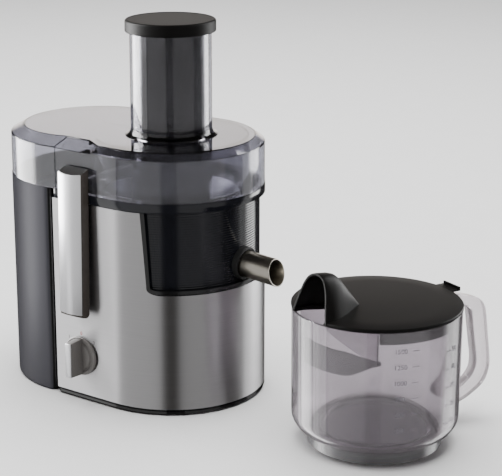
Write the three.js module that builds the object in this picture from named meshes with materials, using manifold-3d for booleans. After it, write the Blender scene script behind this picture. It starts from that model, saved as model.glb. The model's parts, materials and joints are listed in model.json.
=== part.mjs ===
// Centrifugal juicer with its juice jug. Millimetres, +Z up, the spout towards -Y.
// Every piece is made about the drive axis (x = 0, y = 0) with z = 0 on the table,
// and the finished set is then centred on its own footprint.
import * as THREE from 'three';
import { mergeVertices } from 'three/addons/utils/BufferGeometryUtils.js';
import Module from 'manifold-3d';

const wasm = await Module();
wasm.setup();

// ---------------------------------------------------------------- sizes
const FIT = 0.3; // clearance between pieces that seat on each other
const HALF_TURN_STEPS = 16; // facets in half a turn of a large curve
const ROUND_STEPS = 20; // facets in a full turn of a part the size of the dial
const SMALL_STEPS = 10; // facets in a full turn of a screw or a pin
const PAST = 4; // how far a cutter reaches past what it cuts

// body
const BODY_RADIUS = 92; // half width, and the radius of the round front
const BACK_CENTRE_Y = 90; // centre of the round back of the pulp bin and lid
const SPLIT_Y = 77; // back wall of the motor housing
const SPLIT_GAP = 3; // gap between the housing and the pulp bin
const SIDE_STATION_Y = 43; // arms and dial sit here along the side
const FOOT_STAND = 2; // the feet lift the tray this much
const TRAY_THICK = 2.6;
const TRAY_TOP = FOOT_STAND + TRAY_THICK;
const SHEET = 0.8; // steel sheet of the wrap
const HOUSING_WALL = 2.4;
const DECK_TOP = 116;
const DECK_THICK = 3;
const COLLAR_TOP = 212; // top of the black rim under the lid
const COLLAR_HEIGHT = 8.8;
const COLLAR_BOTTOM = COLLAR_TOP - COLLAR_HEIGHT;
const HOUSING_RADIUS = BODY_RADIUS - SHEET - FIT;
const HOUSING_TOP = COLLAR_BOTTOM - FIT;
const STEEL_BACK_Y = SPLIT_Y - 1;
const TRAY_RIM_HEIGHT = 7;
const TRAY_RIM_THICK = 2;

// window in the front of the wrap
const WINDOW_BOTTOM = 122.3;
const WINDOW_HALF_TOP = BODY_RADIUS - 4.8;
const WINDOW_HALF_BOTTOM = BODY_RADIUS - 7;
const WINDOW_CORNER_RISE = 8;
const WINDOW_CORNER_RUN = 3;
const BEZEL_WIDTH = 4.6;

// juice collector
const BOWL_RADIUS = BODY_RADIUS - 6;
const BOWL_WALL = 2.4;
const BOWL_BACK_Y = 74;
const BOWL_BOTTOM = 124;
const BOWL_FLOOR = 3;
const RIB_PITCH = 2.8;
const RIB_HEIGHT = 1;
const RIB_SEAT = 0.4; // the valleys between ribs stand this much off the bowl
const RIB_SPREAD = 66; // degrees each side of the spout
const HUB_BORE = 12.2;
const HUB_WALL = 2.2;
const HUB_TOP = 136;

// spout
const SPOUT_RADIUS = 13;
const SPOUT_WALL = 1;
const SPOUT_ROOT_Z = 143.6;
const SPOUT_SLOPE = 4.7; // degrees below level
const SPOUT_REACH = 126.5; // mid mouth, from the drive axis
const SPOUT_MOUTH_TILT = 12; // degrees, lower lip ahead
const SPOUT_INNER_Y = 81;
const SEAL_RING_WALL = 3;
const SEAL_RING_STAND = 4.6;

// lid and feed tube
const LID_RADIUS = BODY_RADIUS - 0.4;
const LID_BOTTOM = COLLAR_TOP + FIT;
const LID_WALL = 2.4;
const LID_SHOULDER = 254;
const LID_CROWN = 6;
const LID_TOP = LID_SHOULDER + LID_CROWN;
const LID_FRONT_INSET = 9.5;
const LID_SIDE_INSET = 20;
const LID_BACK_INSET = 11;
const POCKET_INSET = 23;
const POCKET_START_Y = 24;
const POCKET_TOP_START_Y = 46;
const POCKET_END_Y = 73;
const POCKET_TOP_END_Y = 76;
const POCKET_DEPTH = 1.6;
const SKIRT_RADIUS = BODY_RADIUS - 16;
const SKIRT_WALL = 1.8;
const SKIRT_OPEN = 52; // degrees each side of the back, where the pulp flies out
const TUBE_RADIUS = 40;
const TUBE_WALL = 2.3;
const TUBE_TOP = 361;
const CHUTE_BOTTOM = 152;
const TUBE_FOOT_RADIUS = 44;
const TUBE_FOOT_HEIGHT = 5;

// pusher
const PUSHER_RADIUS = TUBE_RADIUS - TUBE_WALL - 0.5;
const PUSHER_WALL = 2.2;
const PUSHER_BOTTOM = CHUTE_BOTTOM + 1.5;
const PUSHER_FLOOR = 3;
const CAP_BOTTOM = TUBE_TOP + FIT;
const CAP_HEIGHT = 11.7;
const CAP_RADIUS = 44.2;
const CAP_TOP_RADIUS = 43.6;
const CAP_EDGE = 2;
const CAP_PLUG_DEPTH = 9;

// filter basket and drive
const BASKET_FLOOR_Z = 141;
const BASKET_FLOOR_THICK = 3;
const SCREEN_FOOT_RADIUS = 46.5;
const SCREEN_TOP_RADIUS = 66.5;
const SCREEN_TOP_Z = 204;
const SCREEN_THICK = 0.7;
const BASKET_RIB = 3;
const BASKET_RIB_WIDTH = 4;
const BASKET_RIBS = 6;
const BASKET_RIM_HEIGHT = 4.5;
const BASKET_STEPS = 28;
const COUPLING_RADIUS = 9;
const COUPLING_BOTTOM = DECK_TOP + 3;
const COUPLING_TOP = 139;
const COUPLING_FLUTES = 6;
const COUPLING_FLUTE_RADIUS = 1.6;
const GRATER_RADIUS = 44;
const GRATER_THICK = 1.4;
const GRATER_RINGS = 3;
const NUT_RADIUS = 7;
const NUT_HEIGHT = 2.8;
const TOOTH_HEIGHT = 2.6;
const TOOTH_RADIUS = 1.8;
const SHAFT_RADIUS = 4;
const SHAFT_BOTTOM = 13;
const ROTOR_RADIUS = 22;
const ROTOR_BOTTOM = 40;
const ROTOR_HEIGHT = 46;
const ROTOR_GAP = 0.8;
const MOTOR_RADIUS = 40;
const MOTOR_WALL = 3;
const MOTOR_BOTTOM = 27;
const MOTOR_TOP = 101;
const BEARING_RADIUS = 9;
const BEARING_HEIGHT = 6;
const PLATE_RADIUS = 52;
const PLATE_THICK = 3;
const POST_CIRCLE = 46;
const POST_RADIUS = 4;
const FAN_RADIUS = 34;
const FAN_HEIGHT = 8;
const FAN_BLADES = 8;

// screws and feet
const BOSS_RADIUS = 5;
const BOSS_X = 66;
const BOSS_FRONT_Y = -22;
const BOSS_BACK_Y = 60;
const SCREW_RADIUS = 1.5;
const SCREW_HEAD_RADIUS = 3;
const SCREW_HEAD = 1.5;
const SCREW_LENGTH = 16;
const FOOT_RADIUS = 10;
const FOOT_X = 50;
const FOOT_FRONT_Y = -50;
const FOOT_BACK_Y = 64;
const FOOT_PLUG_RADIUS = 3;
const FOOT_STEPS = 16;
const VENTS = 7;
const VENT_LENGTH = 46;
const VENT_WIDTH = 3.5;
const VENT_PITCH = 8;

// pulp bin
const BIN_WALL = 2.4;
const BIN_CORNER = 7;
const BIN_DRAFT = 1;
const BIN_FRONT_Y = SPLIT_Y + SPLIT_GAP;
const GRIP_WIDTH = 76;
const GRIP_TOP = 186;
const GRIP_BOTTOM = 152;
const GRIP_DEPTH = 13;

// locking arms
const ARM_GAP = 1.2;
const ARM_HALF_WIDTH = 13.6;
const ARM_FLARE = 0.8; // the outer edges stand this much wider than the inner ones
const ARM_SIDE = 8; // flat side, from the inner face outwards
const ARM_BULGE = 5; // curved outer face beyond the flat side
const ARM_BOTTOM = 90.4;
const ARM_TOP = 236;
const ARM_COVER = 0.9;
const ARM_HEEL = 4.2; // radius of the heel about the pin
const ARM_OUTER_LIFT = 4; // the outer edge of the heel is this much higher
const LUG_HALF_WIDTH = 4.5;
const LUG_RADIUS = 3.6;
const PIN_RADIUS = 1.6;
const HOOK_BOTTOM = 224;
const HOOK_HEIGHT = 7;
const HOOK_HALF_WIDTH = 9;

// dial
const DIAL_Z = 46.8;
const DIAL_RADIUS = 19.7;
const DIAL_THICK = 3;
const DIAL_GRIP_WIDTH = 7;
const DIAL_GRIP_LENGTH = 37;
const DIAL_REACH = 20.5;
const DIAL_DISH_RADIUS = 15.5;
const DIAL_DISH_DEPTH = 1.2;
const DIAL_INSERT = 1.4;
const DIAL_SHAFT_RADIUS = 3;
const SWITCH_DEPTH = 16;
const SWITCH_SIZE = 22;
const BREAKER_DEPTH = 12;
const BREAKER_HEIGHT = 14;

// control board, on the back wall of the housing
const BOARD_HALF_WIDTH = 32;
const BOARD_THICK = 1.6;
const BOARD_BOTTOM = 24;
const BOARD_TOP = 84;
const BOARD_SEAT = 0.6; // components sink this much into the board
const RELAY = { left: -24, right: -8, bottom: 34, top: 56, depth: 10.4 };
const HEAT_SINK = { left: 6, right: 22, bottom: 60, top: 76, depth: 7.4 };
const CAPACITOR = { radius: 6, x: 12, z: 40, depth: 13.4 };

// cord inlet
const INLET_Y = 60;
const INLET_Z = 18;
const INLET_BORE = 3.6;
const INLET_NECK = 5;
const INLET_FLANGE = 8;
const INLET_STAND = 2.2;

// jug
const JUG_X = -1.4;
const JUG_Y = -239.7;
const JUG_TURN = 158; // degrees from +X to the hood
const JUG_RADIUS = 78.6;
const JUG_LOW_RADIUS = 77.6;
const JUG_WALL = 2.5;
const JUG_FOOT_RADIUS = 63;
const JUG_FOOT_HEIGHT = 7;
const JUG_SHOULDER_Z = 28;
const JUG_FLOOR_Z = 8;
const JUG_TOP = 131.5;
const JUG_STEPS = 32;
const JUG_LID_THICK = 3;
const JUG_LID_CROWN = 1.6;
const JUG_SKIRT_DEPTH = 12;
const JUG_SKIRT_WALL = 1.8;
const HOOD_HALF_WIDTH = 27;
const HOOD_HEIGHT = 39.6;
const HOOD_WALL = 2;
const HOOD_MOUTH = 76; // from the jug axis
const HOOD_LEAN = 13; // degrees
const HOOD_TIP = 28; // the hollow starts this far from the jug axis
// Half of the hood's arch: shares of its half width and height, from the foot to the crown.
const HOOD_ARCH = [
  [1, 0],
  [0.922, 0.124],
  [0.8, 0.343],
  [0.68, 0.606],
  [0.563, 0.783],
  [0.43, 0.909],
  [0.233, 0.985],
  [0, 1],
];
// The hood from mouth to tip: place from the jug axis, share of width, share of height.
const HOOD_STATIONS = [
  [84, 1, 1],
  [64, 1, 1],
  [56, 0.88, 0.985],
  [50, 0.76, 0.94],
  [45, 0.66, 0.84],
  [36, 0.44, 0.56],
  [27, 0.22, 0.28],
  [19, 0.03, 0.04],
];
const TAB_WIDTH = 24;
const TAB_LENGTH = 16;
const TAB_THICK = 1.8;
const TAB_RISE = 2.6;
const TAB_REACH = 9; // beyond the rim of the lid
const BAFFLE_OUT = 42; // from the jug axis to the froth separator
const BAFFLE_DEPTH = 32;
const BAFFLE_WALL = 1.8;
const BAFFLE_SPREAD = 55; // degrees each side of the hood where the lower band ends
// The separator's lower band: share of the spread, height of its lower and upper edge below the rim.
const BAFFLE_BAND = [
  [0, 44, 21.5],
  [0.55, 44, 22],
  [0.78, 38.5, 25.5],
  [1, 32.5, 28.5],
];
const HANDLE_WIDTH = 12;
// Outline of the handle: distance beyond the jug's wall, and height.
const HANDLE_OUTSIDE = [
  [9, 16],
  [16, 17],
  [24.5, 19.5],
  [35.5, 24.5],
  [44.5, 30],
  [50, 36],
  [53, 44],
  [54, 52],
  [53, 63],
  [51, 77],
  [48.5, 95],
  [47, 104],
  [45, 111],
  [40.5, 117],
  [34.5, 120.5],
  [25.5, 123.5],
  [15, 126.5],
  [5, 128.5],
];
const HANDLE_INSIDE = [
  [6, 115],
  [19.5, 114.5],
  [25.5, 112.5],
  [28.5, 108.5],
  [29.5, 103],
  [31, 93],
  [34, 74],
  [36, 62],
  [36.3, 55],
  [35, 48],
  [30.5, 41.5],
  [24.5, 37],
  [16.5, 32.5],
  [6, 28],
];
const HANDLE_EDGE = 1.5; // bevel along the handle's edges

// ---------------------------------------------------------------- finishes
function finish(color, roughness, metalness) {
  return new THREE.MeshStandardMaterial({ color, roughness, metalness });
}
const brushedSteel = finish(0xc9c9cb, 0.3, 1);
const polishedSteel = finish(0xd4d4d6, 0.15, 1);
const blackPlastic = finish(0x1c1b1c, 0.35, 0);
const darkGreyPlastic = finish(0x4a4644, 0.35, 0);
const silverPaint = finish(0xc4c4c6, 0.25, 0.8);
const shellGrey = finish(0x48494f, 0.25, 0.3);
const smokeClear = finish(0xb4b2b4, 0.08, 0);
const jugClear = finish(0xa8a4ac, 0.08, 0);
const smokeDark = finish(0x3a383a, 0.1, 0);
const rubber = finish(0x151515, 0.8, 0);
const castAlloy = finish(0x8f9195, 0.45, 0.9);
const motorIron = finish(0x6d6f72, 0.5, 0.8);
const boardGreen = finish(0x2d5a3a, 0.5, 0);
const zincPlated = finish(0xb9bbb8, 0.35, 0.9);

// ---------------------------------------------------------------- tools
function solidOf(geometry) {
  const bare = geometry.clone();
  bare.deleteAttribute('normal');
  bare.deleteAttribute('uv');
  const merged = mergeVertices(bare, 1e-4);
  const corners = merged.index.array;
  const kept = [];
  for (let i = 0; i < corners.length; i += 3) {
    const [a, b, c] = [corners[i], corners[i + 1], corners[i + 2]];
    if (a !== b && b !== c && c !== a) kept.push(a, b, c);
  }
  return new wasm.Manifold(new wasm.Mesh({
    numProp: 3,
    vertProperties: new Float32Array(merged.attributes.position.array),
    triVerts: new Uint32Array(kept),
  }));
}

function piece(name, solid, material) {
  const { vertProperties, triVerts } = solid.getMesh();
  const geometry = new THREE.BufferGeometry();
  geometry.setAttribute('position', new THREE.BufferAttribute(vertProperties, 3));
  geometry.setIndex(new THREE.BufferAttribute(triVerts, 1));
  geometry.computeVertexNormals();
  const mesh = new THREE.Mesh(geometry, material);
  mesh.name = name;
  return mesh;
}

function arc(x, y, radius, from, to, steps) {
  const points = [];
  for (let i = 0; i <= steps; i += 1) {
    const angle = from + ((to - from) * i) / steps;
    points.push(new THREE.Vector2(x + radius * Math.cos(angle), y + radius * Math.sin(angle)));
  }
  return points;
}

function prism(outline, bottom, top) {
  const shape = new THREE.Shape(outline);
  const options = { depth: top - bottom, bevelEnabled: false };
  return solidOf(new THREE.ExtrudeGeometry(shape, options).translate(0, 0, bottom));
}

// A polygon drawn on (x, z), run along y from one value to another.
function prismAlongY(outline, from, to) {
  return prism(outline, -to, -from).rotate([90, 0, 0]);
}

function box(x0, x1, y0, y1, z0, z1) {
  const geometry = new THREE.BoxGeometry(x1 - x0, y1 - y0, z1 - z0);
  return solidOf(geometry.translate((x0 + x1) / 2, (y0 + y1) / 2, (z0 + z1) / 2));
}

function rod(radius, bottom, top, steps = ROUND_STEPS) {
  const geometry = new THREE.CylinderGeometry(radius, radius, top - bottom, steps);
  return solidOf(geometry.rotateX(Math.PI / 2).translate(0, 0, (bottom + top) / 2));
}

function rodAlongX(radius, from, to, y, z, steps = ROUND_STEPS) {
  return rod(radius, from, to, steps).rotate([0, 90, 0]).translate([0, y, z]);
}

function rodAlongY(radius, from, to, x, z, steps = ROUND_STEPS) {
  return rod(radius, -to, -from, steps).rotate([90, 0, 0]).translate([x, 0, z]);
}

// Turns a profile of [radius, height] pairs round the z axis. A profile either starts and
// ends on the axis or is a closed ring section.
function revolve(profile, steps = ROUND_STEPS) {
  const points = profile.map(([radius, height]) => new THREE.Vector2(radius, height));
  if (THREE.ShapeUtils.area(points) < 0) points.reverse();
  const onAxis = points[0].x === 0 && points[points.length - 1].x === 0;
  if (!onAxis) points.push(points[0].clone());
  return solidOf(new THREE.LatheGeometry(points, steps).rotateX(Math.PI / 2));
}

function ring(outer, inner, bottom, top, steps = ROUND_STEPS) {
  return revolve([[inner, bottom], [outer, bottom], [outer, top], [inner, top]], steps);
}

// Skins a stack of outlines that all have the same number of points.
function loft(rings) {
  const count = rings[0].outline.length;
  const positions = rings.flatMap(({ outline, z }) => outline.flatMap((p) => [p.x, p.y, z]));
  const faces = [];
  for (let level = 0; level < rings.length - 1; level += 1) {
    for (let i = 0; i < count; i += 1) {
      const next = (i + 1) % count;
      const low = level * count;
      const high = low + count;
      faces.push(low + i, low + next, high + next, low + i, high + next, high + i);
    }
  }
  const last = (rings.length - 1) * count;
  const lowEnd = THREE.ShapeUtils.triangulateShape(rings[0].outline, []);
  const highEnd = THREE.ShapeUtils.triangulateShape(rings[rings.length - 1].outline, []);
  for (const [a, b, c] of lowEnd) faces.push(a, c, b);
  for (const [a, b, c] of highEnd) faces.push(last + a, last + b, last + c);
  const geometry = new THREE.BufferGeometry();
  geometry.setAttribute('position', new THREE.Float32BufferAttribute(positions, 3));
  geometry.setIndex(faces);
  return solidOf(geometry);
}

function outlineOf(pairs) {
  return pairs.map(([a, b]) => new THREE.Vector2(a, b));
}

function union(solids) {
  return solids.reduce((sum, solid) => sum.add(solid));
}

function aroundAxis(solid, count, start = 0) {
  return Array.from({ length: count }, (_, i) => solid.rotate([0, 0, start + (360 * i) / count]));
}

// ---------------------------------------------------------------- outlines
const QUARTER = Math.PI / 2;

// Round front about the drive axis, straight sides and a flat back.
function housingPlan(radius, backY, corner) {
  return [
    ...arc(0, 0, radius, 2 * QUARTER, 4 * QUARTER, HALF_TURN_STEPS),
    ...arc(radius - corner, backY - corner, corner, 0, QUARTER, 3),
    ...arc(corner - radius, backY - corner, corner, QUARTER, 2 * QUARTER, 3),
  ];
}

// Flat front, straight sides and a round back.
function binPlan(radius, frontY, corner) {
  return [
    ...arc(0, BACK_CENTRE_Y, radius, 0, 2 * QUARTER, HALF_TURN_STEPS),
    ...arc(corner - radius, frontY + corner, corner, 2 * QUARTER, 3 * QUARTER, 4),
    ...arc(radius - corner, frontY + corner, corner, 3 * QUARTER, 4 * QUARTER, 4),
  ];
}

// How far the flat top of the lid stands in from the wall, by place along the lid.
function lidInset(y, sweep) {
  const stations = [
    [POCKET_START_Y, LID_FRONT_INSET],
    [POCKET_TOP_START_Y, POCKET_INSET],
    [POCKET_TOP_END_Y, POCKET_INSET],
    [BACK_CENTRE_Y, LID_SIDE_INSET],
  ];
  if (y > BACK_CENTRE_Y) return THREE.MathUtils.lerp(LID_SIDE_INSET, LID_BACK_INSET, sweep);
  if (y <= POCKET_START_Y) return LID_FRONT_INSET;
  const after = stations.findIndex(([at]) => y <= at);
  const [fromY, fromInset] = stations[after - 1];
  const [toY, toInset] = stations[after];
  return THREE.MathUtils.mapLinear(y, fromY, toY, fromInset, toInset);
}

// The lid is round at both ends. insetShare is 0 on the wall and 1 on the edge of the flat top.
function lidPlan(shrink, insetShare) {
  const radius = LID_RADIUS - shrink;
  const sideYs = [POCKET_START_Y, POCKET_TOP_START_Y, POCKET_TOP_END_Y];
  const front = arc(0, 0, radius, 2 * QUARTER, 4 * QUARTER, HALF_TURN_STEPS);
  const back = arc(0, BACK_CENTRE_Y, radius, 0, 2 * QUARTER, HALF_TURN_STEPS);
  const right = sideYs.map((y) => new THREE.Vector2(radius, y));
  const left = sideYs.map((y) => new THREE.Vector2(-radius, y)).reverse();
  return [...front, ...right, ...back, ...left].map((point) => {
    const centreY = THREE.MathUtils.clamp(point.y, 0, BACK_CENTRE_Y);
    const outward = new THREE.Vector2(point.x, point.y - centreY).normalize();
    const inset = insetShare * lidInset(point.y, Math.abs(outward.y));
    return point.clone().addScaledVector(outward, -inset);
  });
}

// Front view of the window: sides that lean out towards the top, and rounded lower corners.
function windowFace(inset, top) {
  const halfTop = WINDOW_HALF_TOP - inset * 0.35;
  const halfBottom = WINDOW_HALF_BOTTOM - inset * 0.35;
  const bottom = WINDOW_BOTTOM + inset;
  const rise = WINDOW_CORNER_RISE;
  const shape = new THREE.Shape();
  shape.moveTo(-halfTop, top);
  shape.lineTo(-halfBottom, bottom + rise);
  shape.quadraticCurveTo(-halfBottom, bottom, WINDOW_CORNER_RUN - halfBottom, bottom);
  shape.lineTo(halfBottom - WINDOW_CORNER_RUN, bottom);
  shape.quadraticCurveTo(halfBottom, bottom, halfBottom, bottom + rise);
  shape.lineTo(halfTop, top);
  return shape.getPoints(4);
}

function windowCut(inset, top) {
  return prismAlongY(windowFace(inset, top), -BODY_RADIUS - PAST, 0);
}

// ---------------------------------------------------------------- body
const footPlaces = [
  ['front_left', -FOOT_X, FOOT_FRONT_Y],
  ['front_right', FOOT_X, FOOT_FRONT_Y],
  ['back_left', -FOOT_X, FOOT_BACK_Y],
  ['back_right', FOOT_X, FOOT_BACK_Y],
];
const bossPlaces = [
  ['front_left', -BOSS_X, BOSS_FRONT_Y],
  ['front_right', BOSS_X, BOSS_FRONT_Y],
  ['back_left', -BOSS_X, BOSS_BACK_Y],
  ['back_right', BOSS_X, BOSS_BACK_Y],
];

function baseTray() {
  const rimRadius = HOUSING_RADIUS - HOUSING_WALL - FIT;
  const rimBack = SPLIT_Y - HOUSING_WALL - FIT;
  const floor = prism(housingPlan(BODY_RADIUS, SPLIT_Y, 5), FOOT_STAND, TRAY_TOP);
  const rim = prism(housingPlan(rimRadius, rimBack, 4), TRAY_TOP, TRAY_TOP + TRAY_RIM_HEIGHT);
  const rimCore = housingPlan(rimRadius - TRAY_RIM_THICK, rimBack - TRAY_RIM_THICK, 3);
  const hollow = prism(rimCore, TRAY_TOP, TRAY_TOP + TRAY_RIM_HEIGHT + PAST);
  const cuts = [hollow];
  for (const [, x, y] of bossPlaces) {
    const hole = rod(SCREW_RADIUS + FIT, 0, TRAY_TOP + PAST, SMALL_STEPS);
    const seat = rod(SCREW_HEAD_RADIUS + FIT, 0, FOOT_STAND + SCREW_HEAD + FIT, SMALL_STEPS);
    cuts.push(hole.translate([x, y, 0]), seat.translate([x, y, 0]));
  }
  for (const [, x, y] of footPlaces) {
    cuts.push(rod(FOOT_PLUG_RADIUS + FIT, 0, TRAY_TOP + PAST, SMALL_STEPS).translate([x, y, 0]));
  }
  for (let i = 0; i < VENTS; i += 1) {
    const x = (i - (VENTS - 1) / 2) * VENT_PITCH;
    const half = VENT_WIDTH / 2;
    cuts.push(box(x - half, x + half, -VENT_LENGTH / 2, VENT_LENGTH / 2, 0, TRAY_TOP + PAST));
  }
  return floor.add(rim).subtract(union(cuts));
}

function foot(x, y) {
  const plugTop = TRAY_TOP + 1.5;
  const profile = [
    [0, 0],
    [FOOT_RADIUS - 1, 0],
    [FOOT_RADIUS, FOOT_STAND - FIT],
    [FOOT_PLUG_RADIUS, FOOT_STAND - FIT],
    [FOOT_PLUG_RADIUS, plugTop],
    [0, plugTop],
  ];
  return revolve(profile, FOOT_STEPS).translate([x, y, 0]);
}

function baseScrew(x, y) {
  const seat = FOOT_STAND + SCREW_HEAD;
  const profile = [
    [0, seat - SCREW_HEAD + 0.1],
    [SCREW_HEAD_RADIUS, seat - SCREW_HEAD + 0.1],
    [SCREW_HEAD_RADIUS, seat],
    [SCREW_RADIUS, seat],
    [SCREW_RADIUS, seat + SCREW_LENGTH],
    [0, seat + SCREW_LENGTH],
  ];
  return revolve(profile, SMALL_STEPS).translate([x, y, 0]);
}

const pivotX = BODY_RADIUS + ARM_GAP + ARM_HEEL;
const pivotZ = ARM_BOTTOM + ARM_HEEL;

function armLug() {
  const web = box(HOUSING_RADIUS - 1, pivotX, -LUG_HALF_WIDTH, LUG_HALF_WIDTH,
    pivotZ - LUG_RADIUS, pivotZ + LUG_RADIUS);
  const eye = rodAlongY(LUG_RADIUS, -LUG_HALF_WIDTH, LUG_HALF_WIDTH, pivotX, pivotZ, 12);
  const hole = rodAlongY(PIN_RADIUS + FIT, -BODY_RADIUS, BODY_RADIUS, pivotX, pivotZ, SMALL_STEPS);
  return web.add(eye).subtract(hole).translate([0, SIDE_STATION_Y, 0]);
}

function motorHousing() {
  const bottom = TRAY_TOP + FIT;
  const inner = HOUSING_RADIUS - HOUSING_WALL;
  const innerPlan = housingPlan(inner, SPLIT_Y - HOUSING_WALL, 3);
  const deckBottom = DECK_TOP - DECK_THICK;
  const postBottom = MOTOR_TOP + PLATE_THICK + 2 * FIT;
  const shell = prism(housingPlan(HOUSING_RADIUS, SPLIT_Y, 5), bottom, HOUSING_TOP)
    .subtract(prism(innerPlan, bottom - PAST, deckBottom))
    .subtract(prism(innerPlan, DECK_TOP, HOUSING_TOP + PAST));
  const boss = rod(BOSS_RADIUS, bottom, deckBottom + 1, SMALL_STEPS);
  const bosses = bossPlaces.map(([, x, y]) => boss.translate([x, y, 0]));
  const post = rod(POST_RADIUS, postBottom, deckBottom + 1, SMALL_STEPS).translate([POST_CIRCLE, 0, 0]);
  const adds = [...bosses, ...aroundAxis(post, 3, 30), armLug(), armLug().mirror([1, 0, 0])];
  const screwTop = FOOT_STAND + SCREW_HEAD + SCREW_LENGTH + 2 * FIT;
  const screwHole = rod(SCREW_RADIUS + FIT, 0, screwTop, SMALL_STEPS);
  const cuts = [
    windowCut(0, HOUSING_TOP + PAST),
    rod(COUPLING_RADIUS + 1.5, deckBottom - PAST, DECK_TOP + PAST),
    rodAlongX(DIAL_SHAFT_RADIUS + FIT, -BODY_RADIUS - PAST, PAST - inner, SIDE_STATION_Y, DIAL_Z, 12),
    rodAlongX(INLET_NECK + FIT, inner - PAST, BODY_RADIUS + PAST, INLET_Y, INLET_Z, 16),
    ...bossPlaces.map(([, x, y]) => screwHole.translate([x, y, 0])),
  ];
  return shell.add(union(adds)).subtract(union(cuts));
}

function steelWrap() {
  const inner = BODY_RADIUS - SHEET;
  const backPast = STEEL_BACK_Y + PAST;
  const wrap = prism(housingPlan(BODY_RADIUS, backPast + 8, 3), TRAY_TOP + FIT, HOUSING_TOP)
    .subtract(prism(housingPlan(inner, backPast + 20, 3), 0, COLLAR_TOP))
    .subtract(box(-BODY_RADIUS - 1, BODY_RADIUS + 1, STEEL_BACK_Y, backPast + 30, 0, COLLAR_TOP));
  const slot = box(inner - PAST, BODY_RADIUS + PAST, SIDE_STATION_Y - LUG_HALF_WIDTH - FIT,
    SIDE_STATION_Y + LUG_HALF_WIDTH + FIT, pivotZ - LUG_RADIUS - FIT, pivotZ + LUG_RADIUS + FIT);
  const cuts = [
    windowCut(0, HOUSING_TOP + PAST),
    slot,
    slot.mirror([1, 0, 0]),
    rodAlongX(DIAL_SHAFT_RADIUS + 1, -BODY_RADIUS - PAST, -inner + PAST, SIDE_STATION_Y, DIAL_Z, 16),
    rodAlongX(INLET_NECK + FIT, inner - PAST, BODY_RADIUS + PAST, INLET_Y, INLET_Z, 16),
  ];
  return wrap.subtract(union(cuts));
}

function windowBezel() {
  const inner = BOWL_RADIUS + RIB_HEIGHT + FIT;
  const outer = BODY_RADIUS - 0.2;
  const band = ring(outer, inner, WINDOW_BOTTOM - PAST, HOUSING_TOP, 2 * HALF_TURN_STEPS);
  return band
    .intersect(windowCut(FIT, HOUSING_TOP + PAST))
    .subtract(windowCut(BEZEL_WIDTH, HOUSING_TOP + 2 * PAST));
}

// ---------------------------------------------------------------- juice collector
function ribbedFront() {
  const bottom = BOWL_BOTTOM + 1;
  const ribs = Math.floor((COLLAR_BOTTOM - bottom - 1) / RIB_PITCH);
  const profile = [[BOWL_RADIUS - 1, bottom]];
  for (let i = 0; i < ribs; i += 1) {
    profile.push([BOWL_RADIUS + RIB_SEAT, bottom + i * RIB_PITCH]);
    profile.push([BOWL_RADIUS + RIB_HEIGHT, bottom + (i + 0.5) * RIB_PITCH]);
  }
  profile.push([BOWL_RADIUS + RIB_SEAT, bottom + ribs * RIB_PITCH]);
  profile.push([BOWL_RADIUS - 1, bottom + ribs * RIB_PITCH]);
  const reach = BODY_RADIUS * 2;
  const side = reach * Math.sin(THREE.MathUtils.degToRad(RIB_SPREAD));
  const ahead = -reach * Math.cos(THREE.MathUtils.degToRad(RIB_SPREAD));
  const wedge = outlineOf([[0, 0], [-side, ahead], [-side, -reach], [side, -reach], [side, ahead]]);
  const front = prism(wedge, 0, COLLAR_TOP);
  return revolve(profile, 2 * HALF_TURN_STEPS).intersect(front);
}

// Anything drawn along +Z from the root of the spout, laid along the spout's own axis.
function alongSpout(solid) {
  return solid.rotate([90 + SPOUT_SLOPE, 0, 0]).translate([0, 0, SPOUT_ROOT_Z]);
}

// The spout's axis leaves the drive axis above its root, so that it passes the root height
// at the face of the bowl.
const SPOUT_AXIS_RISE = BOWL_RADIUS * Math.tan(THREE.MathUtils.degToRad(SPOUT_SLOPE));

function spoutRod(radius, from, to) {
  return alongSpout(rod(radius, from, to)).translate([0, 0, SPOUT_AXIS_RISE]);
}

function juiceCollector() {
  const inner = BOWL_RADIUS - BOWL_WALL;
  const innerPlan = housingPlan(inner, BOWL_BACK_Y - BOWL_WALL, 8);
  const collar = prism(housingPlan(BODY_RADIUS, SPLIT_Y, 5), COLLAR_BOTTOM, COLLAR_TOP);
  const bowl = prism(housingPlan(BOWL_RADIUS, BOWL_BACK_Y, 10), BOWL_BOTTOM, COLLAR_BOTTOM + 1);
  const hub = rod(HUB_BORE + HUB_WALL, BOWL_BOTTOM, HUB_TOP);
  return collar.add(bowl)
    .subtract(prism(innerPlan, BOWL_BOTTOM + BOWL_FLOOR, COLLAR_TOP + PAST))
    .add(ribbedFront())
    .add(hub)
    .subtract(rod(HUB_BORE, 0, HUB_TOP + PAST))
    .subtract(spoutRod(SPOUT_RADIUS + FIT, BOWL_BACK_Y, BODY_RADIUS + PAST));
}

function spout() {
  const slope = Math.tan(THREE.MathUtils.degToRad(SPOUT_SLOPE));
  const mouthZ = SPOUT_ROOT_Z - (SPOUT_REACH - BOWL_RADIUS) * slope;
  const mouth = box(-BODY_RADIUS, BODY_RADIUS, -2 * BODY_RADIUS, 0, -BODY_RADIUS, BODY_RADIUS)
    .rotate([-SPOUT_MOUTH_TILT, 0, 0])
    .translate([0, -SPOUT_REACH, mouthZ]);
  return alongSpout(ring(SPOUT_RADIUS, SPOUT_RADIUS - SPOUT_WALL, SPOUT_INNER_Y, SPOUT_REACH + 12))
    .translate([0, 0, SPOUT_AXIS_RISE])
    .subtract(mouth);
}

function spoutSeal() {
  const radius = SPOUT_RADIUS + FIT;
  const face = BOWL_RADIUS + RIB_HEIGHT + SEAL_RING_STAND;
  const sleeve = alongSpout(ring(radius + SEAL_RING_WALL, radius, BOWL_RADIUS - 8, face))
    .translate([0, 0, SPOUT_AXIS_RISE]);
  return sleeve.subtract(rod(BOWL_RADIUS + RIB_HEIGHT + FIT, 0, COLLAR_TOP, 4 * HALF_TURN_STEPS));
}

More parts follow.
